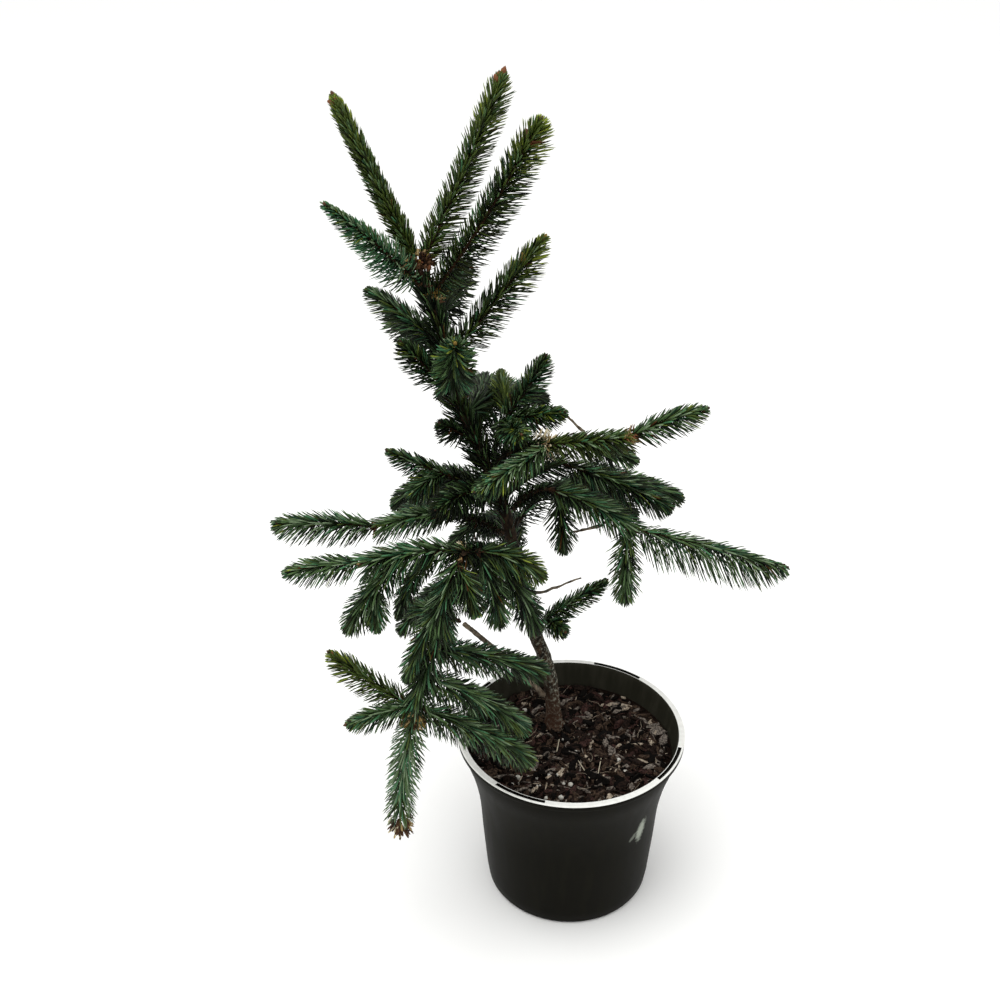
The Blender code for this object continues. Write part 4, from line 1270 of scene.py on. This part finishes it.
def make_masses(masses, wood, rng):
    """Each mass of needles as three pieces: its needles, its twigs, its buds and scales."""
    needles, scales, bark = plains(NEEDLE_TINTS), plains(SCALE_TINTS), twig_material()
    for name, shoots in masses.items():
        green, brown, stems = [], [], []
        for number, (limb, (length, angle, lean), tone) in enumerate(shoots):
            key = f"{name} {number}"
            share, tip_run, crowding = SHAPES.get(key, (1.0, TIP_RUN, 1.0))
            is_node = carries_on(limb, shoots)
            green.append(shoot_needles(limb, (length * share, angle, lean), tone, wood, rng,
                                       per_mm=PER_MM * crowding, tip_run=tip_run,
                                       ends="node" if is_node else "tip",
                                       tip_bare=NODE_BARE if is_node else BARE_TIPS.get(key, 0)))
            stems.append(shoot_wood(limb, SIDE_R if number else SHOOT_R, rng))
            brown.append(tip_buds(limb, *BUDS.get(key, PLAIN_BUDS), rng))
            foot = limb.begin + 1.5 / limb.length
            brown.append(scales_round(limb, foot, 9, 3.6, 0.6, COLLARS.get(name, PLAIN_SCALES), rng))
            if key in STARS:
                share, stand, *star = STARS[key]
                brown.append(scales_round(limb, foot if share is None else share, *star, rng, stand))
        brown += [side_bud(shoots[0][0], *bud) for mass, *bud in SIDE_BUDS if mass == name]
        slot = "mass_" + name
        carry(array_piece("needles_" + name, green, needles), slot, slot)
        carry(array_piece("twigs_" + name, stems, (bark,)), slot)
        carry(array_piece("buds_" + name, brown, scales), slot)


def make_wood_needles(limbs, rng):
    """Older needles, still held on the upper trunk and on all but the lowest bough."""
    needles = plains(NEEDLE_TINTS)
    wood = wood_points(limbs, "trunk")
    parts = [shoot_needles(Leader(limbs["trunk"], foot, top), LEADER_COAT, "inner", wood, rng,
                           per_mm=per_mm, bare=0, ends="anywhere") for foot, top, per_mm in LEADERS]
    carry(array_piece("needles_trunk", parts, needles), "mass_upper_rear")
    parts = []
    for name, *_ in BOUGHS:
        if name not in BARE_BOUGHS:
            coat = THIN_COAT if name in THIN_BOUGHS else BOUGH_COAT
            parts.append(shoot_needles(limbs[name], coat, "inner", wood_points(limbs, name), rng,
                                       per_mm=BOUGH_PER_MM, bare=BOUGH_BARE, ends="anywhere"))
    carry(array_piece("needles_boughs", parts, needles), "mass_middle_left")


# ---- stage, in metres
SOFTBOX_AT = (-0.5, -0.3, 2.6)
SOFTBOX_AIM = (0, 0, 0.4)
SOFTBOX_SIZE = 1.8
SOFTBOX_POWER = 36
CAMERA_AT = (-0.071, -1.238, 1.228)
CAMERA_TURN = (math.radians(58.1), 0, 0)  # it looks down by 31.9 degrees, straight along +Y
CAMERA_LENS = 57.6


def make_floor():
    bpy.ops.object.select_all(action="DESELECT")
    bpy.ops.mesh.primitive_plane_add(size=40, location=(0, 0, 0))
    floor = bpy.context.object
    floor.name = "floor"
    floor.data.materials.append(plain("pale_matt_floor", "fafaf8", 0.9))


def make_softbox():
    data = bpy.data.lights.new("overhead_softbox", "AREA")
    data.shape = "DISK"
    data.size = SOFTBOX_SIZE
    data.energy = SOFTBOX_POWER
    light = bpy.data.objects.new("overhead_softbox", data)
    light.location = SOFTBOX_AT
    way = Vector(SOFTBOX_AIM) - Vector(SOFTBOX_AT)
    light.rotation_euler = way.to_track_quat("-Z", "Y").to_euler()
    bpy.context.scene.collection.objects.link(light)


def make_studio():
    scene = bpy.context.scene
    world = bpy.data.worlds.new("studio")
    world.use_nodes = True
    sky = world.node_tree.nodes["Background"].inputs
    sky["Color"].default_value = (1.0, 1.0, 1.0, 1.0)
    sky["Strength"].default_value = 1.0
    scene.world = world
    scene.view_settings.view_transform = "Standard"
    make_softbox()


def make_camera():
    camera = bpy.data.objects.new("camera", bpy.data.cameras.new("camera"))
    camera.location = CAMERA_AT
    camera.rotation_euler = CAMERA_TURN
    camera.data.sensor_width = 36.0
    camera.data.lens = CAMERA_LENS
    bpy.context.scene.collection.objects.link(camera)
    bpy.context.scene.camera = camera


def main():
    rng = np.random.default_rng(SEED)
    make_camera()
    make_studio()
    make_floor()
    make_pot()
    bed = make_bed()
    make_chips(bed, rng)
    make_grit(bed, rng)
    limbs, masses = grow()
    bark = bark_material("young_spruce_bark", "0f0b07", "3b2d20")
    worn = bark_material("weathered_spruce_bark", "2b241b", "857866")
    make_trunk(limbs["trunk"], bark)
    for name, *_ in BOUGHS:
        make_bough(name, limbs[name], worn if name in BARE_BOUGHS else bark)
    make_dead_twigs(worn, rng)
    make_masses(masses, wood_points(limbs), rng)
    make_wood_needles(limbs, rng)
    make_whorls(limbs["trunk"], rng)


main()
